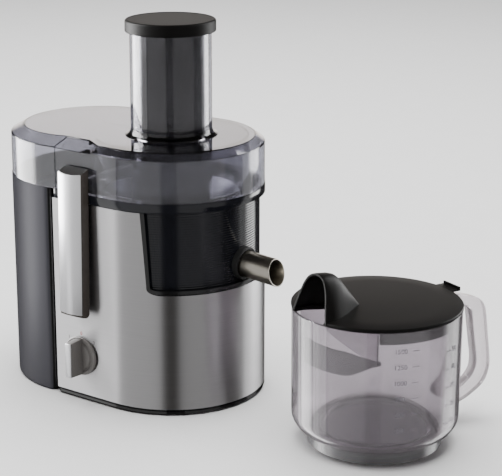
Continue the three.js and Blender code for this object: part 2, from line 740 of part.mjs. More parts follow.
// ---------------------------------------------------------------- drive
const plateBottom = MOTOR_TOP + FIT;

function screenRadius(z) {
  const foot = BASKET_FLOOR_Z + BASKET_FLOOR_THICK;
  return THREE.MathUtils.mapLinear(z, foot, SCREEN_TOP_Z, SCREEN_FOOT_RADIUS, SCREEN_TOP_RADIUS);
}

function driveCoupling() {
  const body = rod(COUPLING_RADIUS, COUPLING_BOTTOM, COUPLING_TOP);
  const flute = rod(COUPLING_FLUTE_RADIUS, COUPLING_BOTTOM + 6, COUPLING_TOP + PAST, 10)
    .translate([COUPLING_RADIUS, 0, 0]);
  const bore = rod(SHAFT_RADIUS + FIT, COUPLING_BOTTOM - PAST, COUPLING_TOP - 4, 16);
  return body.subtract(union(aroundAxis(flute, COUPLING_FLUTES))).subtract(bore);
}

function basketFrame() {
  const floorTop = BASKET_FLOOR_Z + BASKET_FLOOR_THICK;
  const rimTop = SCREEN_TOP_Z + BASKET_RIM_HEIGHT;
  const slack = FIT + 0.2;
  const socket = COUPLING_RADIUS + FIT;
  const hubOuter = HUB_BORE - 0.8;
  const skirtInner = HUB_BORE + HUB_WALL + 0.8;
  const floor = rod(screenRadius(floorTop) + BASKET_RIB, BASKET_FLOOR_Z, floorTop, BASKET_STEPS);
  const hub = ring(hubOuter, socket, COUPLING_BOTTOM + 8, BASKET_FLOOR_Z + 1);
  const skirt = ring(skirtInner + 2, skirtInner, BOWL_BOTTOM + BOWL_FLOOR + 2, BASKET_FLOOR_Z + 1);
  const rim = ring(screenRadius(rimTop) + BASKET_RIB + 0.5, screenRadius(SCREEN_TOP_Z) + slack,
    SCREEN_TOP_Z, rimTop, BASKET_STEPS);
  const section = outlineOf([
    [screenRadius(floorTop) - 4, BASKET_FLOOR_Z],
    [screenRadius(floorTop) + BASKET_RIB, BASKET_FLOOR_Z],
    [screenRadius(rimTop) + BASKET_RIB, rimTop],
    [screenRadius(rimTop) + slack, rimTop],
    [screenRadius(floorTop) + slack, floorTop],
    [screenRadius(floorTop) - 4, floorTop],
  ]);
  const rib = prismAlongY(section, -BASKET_RIB_WIDTH / 2, BASKET_RIB_WIDTH / 2);
  return union([floor, hub, skirt, rim, ...aroundAxis(rib, BASKET_RIBS, 15)]);
}

function filterScreen() {
  const bottom = BASKET_FLOOR_Z + BASKET_FLOOR_THICK + FIT;
  const foot = screenRadius(bottom);
  const top = screenRadius(SCREEN_TOP_Z);
  return revolve([
    [foot - SCREEN_THICK, bottom],
    [foot, bottom],
    [top, SCREEN_TOP_Z],
    [top - SCREEN_THICK, SCREEN_TOP_Z],
  ], BASKET_STEPS);
}

function gratingDisc() {
  const bottom = BASKET_FLOOR_Z + BASKET_FLOOR_THICK + FIT;
  const top = bottom + GRATER_THICK;
  const disc = rod(GRATER_RADIUS, bottom, top, BASKET_STEPS);
  const nut = revolve([
    [0, top - 0.5],
    [NUT_RADIUS, top - 0.5],
    [NUT_RADIUS - 1, top + 1.5],
    [NUT_RADIUS / 2, top + NUT_HEIGHT],
    [0, top + NUT_HEIGHT],
  ], 12);
  const teeth = [];
  for (let row = 0; row < GRATER_RINGS; row += 1) {
    const at = 14 + row * 11;
    const tooth = solidOf(new THREE.ConeGeometry(TOOTH_RADIUS, TOOTH_HEIGHT, 3)
      .rotateX(Math.PI / 2).translate(at, 0, top + TOOTH_HEIGHT / 2 - 0.4));
    teeth.push(...aroundAxis(tooth, 8 + row * 6, row * 9));
  }
  return union([disc, nut, ...teeth]);
}

function motorShaft() {
  return rod(SHAFT_RADIUS, SHAFT_BOTTOM, COUPLING_TOP - 4 - FIT, 16);
}

function rotor() {
  const slots = aroundAxis(rod(1.4, ROTOR_BOTTOM - PAST, ROTOR_BOTTOM + ROTOR_HEIGHT + PAST, 6)
    .translate([ROTOR_RADIUS, 0, 0]), 12);
  return ring(ROTOR_RADIUS, SHAFT_RADIUS + FIT, ROTOR_BOTTOM, ROTOR_BOTTOM + ROTOR_HEIGHT)
    .subtract(union(slots));
}

function coolingFan() {
  const bottom = SHAFT_BOTTOM + 1;
  const top = bottom + FAN_HEIGHT;
  const disc = ring(FAN_RADIUS, SHAFT_RADIUS + FIT, bottom, bottom + 1.4);
  const hub = ring(SHAFT_RADIUS + 3.5, SHAFT_RADIUS + FIT, bottom, top, 16);
  const blade = box(SHAFT_RADIUS + 2.5, FAN_RADIUS - 1, -0.8, 0.8, bottom + 1, top);
  return union([disc, hub, ...aroundAxis(blade, FAN_BLADES)]);
}

function motorCan() {
  const floor = 3;
  const can = rod(MOTOR_RADIUS, MOTOR_BOTTOM, MOTOR_TOP)
    .subtract(rod(ROTOR_RADIUS + ROTOR_GAP, MOTOR_BOTTOM + BEARING_HEIGHT + floor, MOTOR_TOP + PAST))
    .subtract(rod(BEARING_RADIUS + FIT, MOTOR_BOTTOM + floor, MOTOR_TOP))
    .subtract(rod(SHAFT_RADIUS + 1, MOTOR_BOTTOM - PAST, MOTOR_TOP, 16));
  const slots = aroundAxis(box(MOTOR_RADIUS - MOTOR_WALL, MOTOR_RADIUS + PAST, -4, 4,
    MOTOR_BOTTOM + 14, MOTOR_TOP - 12), 8, 22.5);
  return can.subtract(union(slots));
}

function bearing(bottom) {
  return ring(BEARING_RADIUS, SHAFT_RADIUS + FIT, bottom, bottom + BEARING_HEIGHT, 20);
}

function motorPlate() {
  const top = plateBottom + PLATE_THICK;
  const spokes = aroundAxis(box(0, POST_CIRCLE, -7, 7, plateBottom, top), 3, 30);
  const pads = aroundAxis(rod(7, plateBottom, top, 12).translate([POST_CIRCLE, 0, 0]), 3, 30);
  const nest = rod(BEARING_RADIUS + 3, plateBottom, plateBottom + BEARING_HEIGHT + 2);
  return union([rod(MOTOR_RADIUS - 12, plateBottom, top), nest, ...spokes, ...pads])
    .subtract(rod(BEARING_RADIUS + FIT, plateBottom - PAST, plateBottom + BEARING_HEIGHT + FIT))
    .subtract(rod(SHAFT_RADIUS + 1, 0, DECK_TOP, 16));
}

function shaftSeal() {
  return revolve([
    [SHAFT_RADIUS + 0.5, DECK_TOP - 2.5],
    [COUPLING_RADIUS + 1.2, DECK_TOP - 2.5],
    [COUPLING_RADIUS + 1.2, DECK_TOP + FIT],
    [COUPLING_RADIUS + 4, DECK_TOP + FIT],
    [COUPLING_RADIUS + 4, DECK_TOP + 1.6],
    [SHAFT_RADIUS + 0.5, DECK_TOP + 1.6],
  ]);
}

// ---------------------------------------------------------------- lid and pusher
function pocketCut() {
  const slope = Math.atan2(LID_TOP - LID_SHOULDER, POCKET_INSET);
  const outline = outlineOf([
    [PAST, POCKET_START_Y - 2],
    [PAST, POCKET_END_Y],
    [-POCKET_INSET, POCKET_TOP_END_Y - 2],
    [-POCKET_INSET, POCKET_TOP_START_Y + 2],
  ]);
  return prism(outline, -POCKET_DEPTH, 2 * PAST)
    .rotate([0, THREE.MathUtils.radToDeg(slope), 0])
    .translate([LID_RADIUS, 0, LID_SHOULDER]);
}

function feedTube() {
  const profile = [
    [TUBE_RADIUS - TUBE_WALL, CHUTE_BOTTOM],
    [TUBE_RADIUS, CHUTE_BOTTOM],
    [TUBE_RADIUS, LID_TOP - 1],
    [TUBE_FOOT_RADIUS, LID_TOP - 1],
  ];
  for (let i = 0; i <= 3; i += 1) {
    const angle = (QUARTER * i) / 3;
    const out = (TUBE_FOOT_RADIUS - TUBE_RADIUS) * (1 - Math.sin(angle));
    profile.push([TUBE_RADIUS + out, LID_TOP + TUBE_FOOT_HEIGHT * (1 - Math.cos(angle))]);
  }
  profile.push([TUBE_RADIUS, TUBE_TOP], [TUBE_RADIUS - TUBE_WALL, TUBE_TOP]);
  return revolve(profile, 2 * HALF_TURN_STEPS);
}

function lid() {
  const bottom = LID_BOTTOM;
  const outer = loft([
    { outline: lidPlan(0, 0), z: bottom },
    { outline: lidPlan(0, 0), z: LID_SHOULDER },
    { outline: lidPlan(0, 1), z: LID_TOP },
  ]);
  const inner = loft([
    { outline: lidPlan(LID_WALL, 0), z: bottom - PAST },
    { outline: lidPlan(LID_WALL, 0), z: LID_SHOULDER - LID_WALL },
    { outline: lidPlan(LID_WALL, 1), z: LID_TOP - LID_WALL },
  ]);
  const reach = 2 * BODY_RADIUS;
  const half = reach * Math.tan(THREE.MathUtils.degToRad(SKIRT_OPEN));
  const opening = outlineOf([[0, 0], [half, reach], [-half, reach]]);
  const skirtInner = SKIRT_RADIUS - SKIRT_WALL;
  const skirt = ring(SKIRT_RADIUS, skirtInner, bottom, LID_TOP - 1, 2 * HALF_TURN_STEPS)
    .subtract(prism(opening, 0, LID_TOP - LID_WALL));
  const cover = outer.subtract(inner).add(skirt.intersect(outer));
  return cover
    .subtract(pocketCut())
    .subtract(pocketCut().mirror([1, 0, 0]))
    .subtract(rod(TUBE_RADIUS - 1, CHUTE_BOTTOM, LID_TOP + PAST, 2 * HALF_TURN_STEPS))
    .add(feedTube());
}

function pusherSleeve() {
  const top = CAP_BOTTOM - FIT;
  return revolve([
    [0, PUSHER_BOTTOM],
    [PUSHER_RADIUS - 3, PUSHER_BOTTOM],
    [PUSHER_RADIUS, PUSHER_BOTTOM + 3],
    [PUSHER_RADIUS, top],
    [PUSHER_RADIUS - PUSHER_WALL, top],
    [PUSHER_RADIUS - PUSHER_WALL, PUSHER_BOTTOM + PUSHER_FLOOR],
    [0, PUSHER_BOTTOM + PUSHER_FLOOR],
  ], 2 * HALF_TURN_STEPS);
}

function pusherCap() {
  const top = CAP_BOTTOM + CAP_HEIGHT;
  const plug = PUSHER_RADIUS - PUSHER_WALL - FIT;
  const profile = [
    [0, CAP_BOTTOM],
    [plug - 2, CAP_BOTTOM],
    [plug - 2, CAP_BOTTOM - CAP_PLUG_DEPTH],
    [plug, CAP_BOTTOM - CAP_PLUG_DEPTH],
    [plug, CAP_BOTTOM],
    [CAP_RADIUS - 1, CAP_BOTTOM],
    [CAP_RADIUS, CAP_BOTTOM + 1],
  ];
  for (let i = 0; i <= 2; i += 1) {
    const angle = (QUARTER * i) / 2;
    const inward = CAP_EDGE * (1 - Math.cos(angle));
    profile.push([CAP_TOP_RADIUS - inward, top - CAP_EDGE * (1 - Math.sin(angle))]);
  }
  profile.push([0, top]);
  return revolve(profile, 2 * HALF_TURN_STEPS);
}

// ---------------------------------------------------------------- pulp bin
function pulpBin() {
  const outer = loft([
    { outline: binPlan(BODY_RADIUS - BIN_DRAFT, BIN_FRONT_Y + BIN_DRAFT, BIN_CORNER), z: 0 },
    { outline: binPlan(BODY_RADIUS, BIN_FRONT_Y, BIN_CORNER), z: COLLAR_TOP },
  ]);
  const innerFront = BIN_FRONT_Y + BIN_WALL;
  const innerRadius = BODY_RADIUS - BIN_WALL;
  const inner = loft([
    { outline: binPlan(innerRadius - BIN_DRAFT, innerFront + BIN_DRAFT, BIN_CORNER - 2), z: BIN_WALL },
    { outline: binPlan(innerRadius, innerFront, BIN_CORNER - 2), z: COLLAR_TOP + FIT },
  ]);
  const back = BACK_CENTRE_Y + BODY_RADIUS;
  const half = GRIP_WIDTH / 2;
  const wall = BIN_WALL;
  const gripBlock = box(-half - wall, half + wall, back - GRIP_DEPTH - wall, back,
    GRIP_BOTTOM - wall, GRIP_TOP + wall);
  const grip = box(-half, half, back - GRIP_DEPTH, back + PAST, GRIP_BOTTOM, GRIP_TOP);
  return outer.subtract(inner).add(gripBlock.intersect(outer)).subtract(grip);
}

// ---------------------------------------------------------------- locking arms
const armInnerX = BODY_RADIUS + ARM_GAP;

// Plan of the arm: flat inner face and sides, bowed outer face. skin moves the bowed face in.
function armPlan(skin) {
  const inner = ARM_HALF_WIDTH;
  const outer = ARM_HALF_WIDTH + ARM_FLARE;
  const edge = armInnerX + ARM_SIDE;
  const points = [[armInnerX, -inner], [edge - skin, -outer]];
  const steps = 8;
  for (let i = 1; i < steps; i += 1) {
    const share = (2 * i) / steps - 1;
    points.push([edge - skin + ARM_BULGE * (1 - share * share), outer * share]);
  }
  points.push([edge - skin, outer], [armInnerX, inner]);
  return outlineOf(points.map(([x, y]) => [x, y + SIDE_STATION_Y]));
}

function armSidePocket() {
  const wide = LUG_HALF_WIDTH + 2 * FIT;
  const reach = LUG_RADIUS + 2 * FIT;
  return box(armInnerX - PAST, pivotX + reach, SIDE_STATION_Y - wide, SIDE_STATION_Y + wide,
    ARM_BOTTOM - PAST, pivotZ + reach);
}

// Everything of the heel that the arm keeps: round about the pin, then rising outwards.
function armHeelTrim() {
  const heel = arc(pivotX, pivotZ, ARM_HEEL, 2 * QUARTER, 3 * QUARTER, 6);
  const outerEdge = armInnerX + ARM_SIDE + ARM_BULGE + PAST;
  const outline = [
    ...heel,
    new THREE.Vector2(outerEdge, ARM_BOTTOM + ARM_OUTER_LIFT),
    new THREE.Vector2(outerEdge, ARM_TOP),
    new THREE.Vector2(armInnerX - PAST, ARM_TOP),
    new THREE.Vector2(armInnerX - PAST, pivotZ),
  ];
  return prismAlongY(outline, SIDE_STATION_Y - 3 * ARM_HALF_WIDTH, SIDE_STATION_Y + 3 * ARM_HALF_WIDTH);
}

function armCore() {
  const hole = rodAlongY(PIN_RADIUS + FIT, SIDE_STATION_Y - 3 * ARM_HALF_WIDTH,
    SIDE_STATION_Y + 3 * ARM_HALF_WIDTH, pivotX, pivotZ, 12);
  const hookFace = LID_RADIUS + FIT;
  const hook = box(hookFace, armInnerX + 2, SIDE_STATION_Y - HOOK_HALF_WIDTH,
    SIDE_STATION_Y + HOOK_HALF_WIDTH, HOOK_BOTTOM, HOOK_BOTTOM + HOOK_HEIGHT);
  return prism(armPlan(ARM_COVER + FIT), ARM_BOTTOM, ARM_TOP)
    .intersect(armHeelTrim())
    .add(hook)
    .subtract(armSidePocket())
    .subtract(hole);
}

function armCover() {
  const bottom = ARM_BOTTOM + ARM_OUTER_LIFT;
  const beyond = armInnerX + ARM_SIDE - ARM_COVER - 0.2;
  const front = box(beyond, armInnerX + 4 * ARM_SIDE, SIDE_STATION_Y - 3 * ARM_HALF_WIDTH,
    SIDE_STATION_Y + 3 * ARM_HALF_WIDTH, bottom, ARM_TOP);
  const within = prism(armPlan(ARM_COVER), 0, ARM_TOP + PAST);
  return prism(armPlan(0), bottom, ARM_TOP).subtract(within).intersect(front);
}

function armPin() {
  const half = ARM_HALF_WIDTH - 0.6;
  return rodAlongY(PIN_RADIUS, SIDE_STATION_Y - half, SIDE_STATION_Y + half, pivotX, pivotZ, 12);
}

// ---------------------------------------------------------------- dial
function dialKnob() {
  const back = BODY_RADIUS + FIT;
  const face = back + DIAL_THICK;
  const tip = BODY_RADIUS + DIAL_REACH - DIAL_INSERT - FIT;
  const halfWidth = DIAL_GRIP_WIDTH / 2;
  const halfLength = DIAL_GRIP_LENGTH / 2;
  const disc = rodAlongX(DIAL_RADIUS, back, face, 0, 0, 32);
  const dish = ring(DIAL_DISH_RADIUS, DIAL_DISH_RADIUS - 2, face - DIAL_DISH_DEPTH, face + PAST)
    .rotate([0, 90, 0]);
  const innerDish = ring(DIAL_DISH_RADIUS - 3.5, 4, face - DIAL_DISH_DEPTH, face + PAST)
    .rotate([0, 90, 0]);
  const gripOutline = outlineOf([
    [back + 1, -halfLength],
    [tip, 1 - halfLength],
    [tip, halfLength - 1],
    [back + 1, halfLength],
  ]);
  const grip = prismAlongY(gripOutline, -halfWidth, halfWidth);
  return disc.subtract(dish).subtract(innerDish).add(grip)
    .subtract(rodAlongX(DIAL_SHAFT_RADIUS + FIT, 0, back + 6, 0, 0, 16))
    .mirror([1, 0, 0])
    .translate([0, SIDE_STATION_Y, DIAL_Z]);
}

function dialInsert() {
  const tip = BODY_RADIUS + DIAL_REACH;
  const halfWidth = DIAL_GRIP_WIDTH / 2;
  const halfLength = DIAL_GRIP_LENGTH / 2 - 1;
  return box(-tip, DIAL_INSERT - tip, SIDE_STATION_Y - halfWidth, SIDE_STATION_Y + halfWidth,
    DIAL_Z - halfLength, DIAL_Z + halfLength);
}

const switchFace = HOUSING_RADIUS - HOUSING_WALL - FIT;

function dialShaft() {
  const from = BODY_RADIUS + FIT + 6 - FIT;
  return rodAlongX(DIAL_SHAFT_RADIUS, -from, -(switchFace - SWITCH_DEPTH / 2), SIDE_STATION_Y, DIAL_Z, 16);
}

function speedSwitch() {
  const half = SWITCH_SIZE / 2;
  return box(-switchFace, SWITCH_DEPTH - switchFace, SIDE_STATION_Y - half, SIDE_STATION_Y + half,
    DIAL_Z - half, DIAL_Z + half)
    .subtract(rodAlongX(DIAL_SHAFT_RADIUS + FIT, -BODY_RADIUS, FIT - (switchFace - SWITCH_DEPTH / 2),
      SIDE_STATION_Y, DIAL_Z, 16));
}

function circuitBreaker() {
  const half = SWITCH_SIZE / 2;
  return box(-switchFace, BREAKER_DEPTH - switchFace, SIDE_STATION_Y - half, SIDE_STATION_Y + half,
    DIAL_Z + half + FIT, DIAL_Z + half + BREAKER_HEIGHT);
}

function controlBoard() {
  const back = SPLIT_Y - HOUSING_WALL - FIT;
  const front = back - BOARD_THICK;
  const board = box(-BOARD_HALF_WIDTH, BOARD_HALF_WIDTH, front, back, BOARD_BOTTOM, BOARD_TOP);
  const blocks = [RELAY, HEAT_SINK].map(({ left, right, bottom, top, depth }) => (
    box(left, right, front - depth, front + BOARD_SEAT, bottom, top)));
  const can = rodAlongY(CAPACITOR.radius, front - CAPACITOR.depth, front + BOARD_SEAT,
    CAPACITOR.x, CAPACITOR.z, 16);
  return union([board, ...blocks, can]);
}

function cordInlet() {
  const flange = rodAlongX(INLET_FLANGE, BODY_RADIUS + FIT, BODY_RADIUS + INLET_STAND, 0, 0);
  const neck = rodAlongX(INLET_NECK, HOUSING_RADIUS - HOUSING_WALL - 3, BODY_RADIUS + 1, 0, 0);
  const bore = rodAlongX(INLET_BORE, 0, 2 * BODY_RADIUS, 0, 0, 16);
  return flange.add(neck).subtract(bore).translate([0, INLET_Y, INLET_Z]);
}

// ---------------------------------------------------------------- jug
// A jug piece is drawn about its own axis with the hood towards +X, then turned and placed.
function onJug(solid) {
  return solid.rotate([0, 0, JUG_TURN]).translate([JUG_X, JUG_Y, 0]);
}

// Outer or inner side of the jug's wall, from the foot up. inside is the wall thickness taken off.
function jugSide(inside) {
  const low = JUG_LOW_RADIUS - inside;
  const foot = JUG_FOOT_RADIUS - inside;
  const points = [];
  const steps = 4;
  for (let i = 0; i <= steps; i += 1) {
    const angle = (QUARTER * i) / steps;
    const rise = (JUG_SHOULDER_Z - JUG_FOOT_HEIGHT) * (1 - Math.cos(angle));
    points.push([foot + (low - foot) * Math.sin(angle), JUG_FOOT_HEIGHT + inside + rise]);
  }
  points.push([JUG_RADIUS - inside, JUG_TOP]);
  return points;
}

function jugHandle() {
  const root = JUG_RADIUS - JUG_WALL / 2;
  const out = outlineOf([...HANDLE_OUTSIDE, ...HANDLE_INSIDE]
    .map(([beyond, height]) => [JUG_RADIUS + beyond, height]));
  const rootHigh = new THREE.Vector2(root - JUG_WALL, HANDLE_INSIDE[0][1]);
  const rootTop = new THREE.Vector2(root - JUG_WALL, HANDLE_OUTSIDE.at(-1)[1]);
  const rootLow = new THREE.Vector2(root - JUG_WALL, HANDLE_INSIDE.at(-1)[1]);
  const rootFoot = new THREE.Vector2(root - JUG_WALL, HANDLE_OUTSIDE[0][1] + 2 * JUG_WALL);
  const turn = HANDLE_OUTSIDE.length;
  const outline = [...out.slice(0, turn), rootTop, rootHigh, ...out.slice(turn), rootLow, rootFoot];
  const bar = prismAlongY(outline, -HANDLE_WIDTH / 2, HANDLE_WIDTH / 2);
  return bar.subtract(revolve(jugCore(), JUG_STEPS)).rotate([0, 0, 180]);
}

// Everything inside the middle of the jug's wall.
function jugCore() {
  const side = jugSide(JUG_WALL / 2);
  return [[0, side[0][1]], ...side, [side.at(-1)[0], JUG_TOP + PAST], [0, JUG_TOP + PAST]];
}

function jugBody() {
  const outside = jugSide(0);
  const inside = jugSide(JUG_WALL).reverse();
  const footInner = JUG_FOOT_RADIUS - JUG_WALL;
  const profile = [
    [0, JUG_FLOOR_Z - JUG_WALL],
    [footInner, JUG_FLOOR_Z - JUG_WALL],
    [footInner, 0],
    [JUG_FOOT_RADIUS, 0],
    ...outside,
    ...inside,
    [0, JUG_FLOOR_Z + 1.5],
  ];
  return onJug(revolve(profile, JUG_STEPS).add(jugHandle()));
}

// The hood as a solid, or its hollow when shrink is its wall: arches that close in to a point.
function hoodForm(shrink) {
  const rings = [...HOOD_STATIONS].reverse().map(([at, wide, high]) => {
    const halfWidth = Math.max(HOOD_HALF_WIDTH * wide - shrink, 0.1);
    const height = Math.max(HOOD_HEIGHT * high - shrink, 0.1);
    const half = HOOD_ARCH.map(([across, up]) => [across * halfWidth, up * height]);
    const otherHalf = half.slice(0, -1).reverse().map(([across, up]) => [-across, up]);
    return { outline: outlineOf([...half, ...otherHalf]), z: at };
  });
  return loft(rings).rotate([90, 0, 90]).translate([0, 0, JUG_TOP + FIT]);
}

function jugLid() {
  const bottom = JUG_TOP + FIT;
  const top = bottom + JUG_LID_THICK;
  const skirtOuter = JUG_RADIUS - JUG_WALL - 0.5;
  const rimRadius = JUG_RADIUS + 0.3;
  const plate = revolve([
    [0, bottom],
    [rimRadius, bottom],
    [rimRadius, top - 0.8],
    [rimRadius - 0.8, top],
    [rimRadius / 2, top + JUG_LID_CROWN * 0.75],
    [0, top + JUG_LID_CROWN],
  ], JUG_STEPS);
  const skirtInner = skirtOuter - JUG_SKIRT_WALL;
  const skirt = ring(skirtOuter, skirtInner, bottom - JUG_SKIRT_DEPTH, bottom + 1, JUG_STEPS);
  const reach = 3 * JUG_RADIUS;
  const ahead = box(0, reach, -reach, reach, -reach, reach)
    .rotate([0, -HOOD_LEAN, 0])
    .translate([HOOD_MOUTH, 0, bottom]);
  const above = box(-reach, reach, -reach, reach, bottom, reach);
  const hood = hoodForm(0).subtract(ahead);
  const hollow = hoodForm(HOOD_WALL);
  const throat = hollow.translate([0, 0, -JUG_LID_THICK]).intersect(rod(skirtInner, 0, reach, JUG_STEPS));
  const cavity = hollow.add(throat).subtract(box(-reach, HOOD_TIP, -reach, reach, 0, reach));
  const pourSide = box(BAFFLE_OUT - FIT, reach, -reach, reach, 0, bottom);
  const tabEnd = -rimRadius - TAB_REACH;
  const tab = box(tabEnd, tabEnd + TAB_LENGTH, -TAB_WIDTH / 2, TAB_WIDTH / 2, top - TAB_THICK, top + 0.2)
    .add(box(tabEnd, tabEnd + TAB_THICK, -TAB_WIDTH / 2, TAB_WIDTH / 2, top - TAB_THICK, top + TAB_RISE));
  return onJug(plate.add(skirt.subtract(pourSide)).add(hood).subtract(cavity).add(tab));
}

// The froth separator: a wall across the jug under the lid, with a curved band that hangs from
// its ends on the pouring side.
function frothSeparator() {
  const top = JUG_TOP - FIT;
  const outer = JUG_RADIUS - JUG_WALL - 0.5 - JUG_SKIRT_WALL - FIT;
  const wall = box(BAFFLE_OUT, BAFFLE_OUT + BAFFLE_WALL, -JUG_RADIUS, JUG_RADIUS,
    top - BAFFLE_DEPTH, top).intersect(rod(outer, 0, top, JUG_STEPS));
  const across = (share) => outer * Math.sin(THREE.MathUtils.degToRad(share * BAFFLE_SPREAD));
  const lower = BAFFLE_BAND.map(([share, low]) => [across(share), top - low]);
  const upper = BAFFLE_BAND.map(([share, , high]) => [across(share), top - high]);
  const half = [...lower, ...upper.reverse()];
  const otherHalf = half.slice(1, -1).reverse().map(([y, z]) => [-y, z]);
  const window = prismAlongY(outlineOf([...half, ...otherHalf]), -JUG_RADIUS, 0).rotate([0, 0, 90]);
  const band = ring(outer, outer - BAFFLE_WALL, 0, top, JUG_STEPS).intersect(window);
  return onJug(wall.add(band));
}

// ---------------------------------------------------------------- the set
const juicer = new THREE.Group();
const sides = [
  ['left', (solid) => solid.mirror([1, 0, 0])],
  ['right', (solid) => solid],
];

juicer.add(piece('base_tray', baseTray(), blackPlastic));
for (const [place, x, y] of footPlaces) juicer.add(piece(`${place}_foot`, foot(x, y), rubber));
for (const [place, x, y] of bossPlaces) juicer.add(piece(`${place}_screw`, baseScrew(x, y), zincPlated));
juicer.add(piece('motor_housing', motorHousing(), blackPlastic));
juicer.add(piece('steel_wrap', steelWrap(), brushedSteel));
juicer.add(piece('window_bezel', windowBezel(), blackPlastic));
juicer.add(piece('juice_collector', juiceCollector(), smokeDark));
juicer.add(piece('spout', spout(), polishedSteel));
juicer.add(piece('spout_seal', spoutSeal(), rubber));
juicer.add(piece('pulp_bin', pulpBin(), shellGrey));
juicer.add(piece('lid', lid(), smokeClear));
juicer.add(piece('pusher_sleeve', pusherSleeve(), smokeDark));
juicer.add(piece('pusher_cap', pusherCap(), blackPlastic));
for (const [side, onSide] of sides) {
  juicer.add(piece(`${side}_arm_core`, onSide(armCore()), darkGreyPlastic));
  juicer.add(piece(`${side}_arm_cover`, onSide(armCover()), silverPaint));
  juicer.add(piece(`${side}_arm_pin`, onSide(armPin()), zincPlated));
}
juicer.add(piece('dial_knob', dialKnob(), darkGreyPlastic));
juicer.add(piece('dial_insert', dialInsert(), silverPaint));
juicer.add(piece('dial_shaft', dialShaft(), castAlloy));
juicer.add(piece('speed_switch', speedSwitch(), darkGreyPlastic));
juicer.add(piece('circuit_breaker', circuitBreaker(), blackPlastic));
juicer.add(piece('control_board', controlBoard(), boardGreen));
juicer.add(piece('cord_inlet', cordInlet(), rubber));
juicer.add(piece('basket_frame', basketFrame(), smokeDark));
juicer.add(piece('filter_screen', filterScreen(), polishedSteel));
juicer.add(piece('grating_disc', gratingDisc(), polishedSteel));
juicer.add(piece('drive_coupling', driveCoupling(), darkGreyPlastic));
juicer.add(piece('motor_shaft', motorShaft(), polishedSteel));
juicer.add(piece('motor_rotor', rotor(), motorIron));
juicer.add(piece('cooling_fan', coolingFan(), blackPlastic));
juicer.add(piece('motor_stator', motorCan(), motorIron));
juicer.add(piece('upper_bearing', bearing(plateBottom), castAlloy));
juicer.add(piece('lower_bearing', bearing(MOTOR_BOTTOM + 3 + FIT), castAlloy));
juicer.add(piece('motor_plate', motorPlate(), castAlloy));
juicer.add(piece('shaft_seal', shaftSeal(), rubber));
juicer.add(piece('jug_body', jugBody(), jugClear));
juicer.add(piece('jug_lid', jugLid(), blackPlastic));
juicer.add(piece('froth_separator', frothSeparator(), smokeDark));

const footprint = new THREE.Box3().setFromObject(juicer);
const middle = footprint.getCenter(new THREE.Vector3());
juicer.position.set(-middle.x, -middle.y, 0);

export default juicer;
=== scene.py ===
import json
import math

import bmesh
import bpy
from mathutils import Matrix, Vector


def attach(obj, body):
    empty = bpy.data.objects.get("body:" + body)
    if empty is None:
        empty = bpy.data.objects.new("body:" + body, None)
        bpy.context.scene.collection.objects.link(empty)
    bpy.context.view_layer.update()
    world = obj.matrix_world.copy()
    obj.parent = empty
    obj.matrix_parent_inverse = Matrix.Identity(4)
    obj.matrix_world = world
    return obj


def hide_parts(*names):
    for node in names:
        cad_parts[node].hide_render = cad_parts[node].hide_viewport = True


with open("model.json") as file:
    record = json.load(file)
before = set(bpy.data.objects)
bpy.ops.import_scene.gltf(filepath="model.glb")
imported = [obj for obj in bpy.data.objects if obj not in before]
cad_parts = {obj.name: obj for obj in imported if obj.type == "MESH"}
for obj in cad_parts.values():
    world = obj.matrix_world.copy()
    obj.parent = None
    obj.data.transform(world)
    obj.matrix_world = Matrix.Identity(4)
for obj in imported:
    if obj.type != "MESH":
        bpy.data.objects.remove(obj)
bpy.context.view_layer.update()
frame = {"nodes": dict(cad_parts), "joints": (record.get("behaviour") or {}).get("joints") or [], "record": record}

# ---------------------------------------------------------------- measures
# Lengths are in millimetres about the drive axis, with z = 0 on the table and the
# spout towards -Y. Finished pieces are moved to where the record puts that axis.
MM = 0.001
TURN = 2 * math.pi
HALF = math.pi
ROUND = 180  # steps in a full turn of a large curve
SMALL = 40  # steps in a full turn of a small one
FINE = 64  # steps in a full turn of one in between
WELD = 1e-6  # corners closer than this, in metres, are made one

BODY_R = 92.0
REAR_Y = 90.0
SIDE_Y = 43.0
STEEL_LOW, STEEL_HIGH, STEEL_BACK, SHEET = 6.4, 202.9, 76.0, 0.8
COLLAR_LOW, COLLAR_TOP = 203.2, 212.0
WINDOW_LOW = 122.3
RIB_PITCH, RIB_LOW = 2.4, 126
LID_R, LID_LOW, LID_SHOULDER, LID_TOP = 91.6, 212.3, 254.0, 260.0
TUBE_R, TUBE_BORE, TUBE_TOP, CHUTE_LOW = 40.0, 37.7, 361.0, 152.0
TUBE_LIP = 360.3  # where the rounding of the tube's mouth starts
PUSHER_LOW, PUSHER_FLOOR = 153.5, 156.5
CAP_LOW, CAP_TOP, CAP_R = 361.3, 373.0, 44.2
SPOUT_Z, SPOUT_SLOPE = 143.6, math.radians(4.7)
ARM_IN, ARM_LOW, ARM_TOP = 93.2, 90.4, 236.0
COVER_LOW, COVER_HALF = 94.4, 14.4  # foot and half width of the clamps' silver faces
UPWARD = 0.85  # a face counts as a clamp's top when its normal rises above this
DIAL_Z, DIAL_R, DIAL_FACE = 46.8, 19.7, 95.3
DIAL_MARKS_R = 22.6
JUG_X, JUG_Y, JUG_TURN = -1.4, -239.7, math.radians(158)
JUG_R, JUG_TOP, JUG_FLOOR = 78.6, 131.5, 9.8
RING_INSIDE, RING_TOP = 48.6, 13.2  # the raised ring on the jug's floor
HOOD_LOW = 132.6
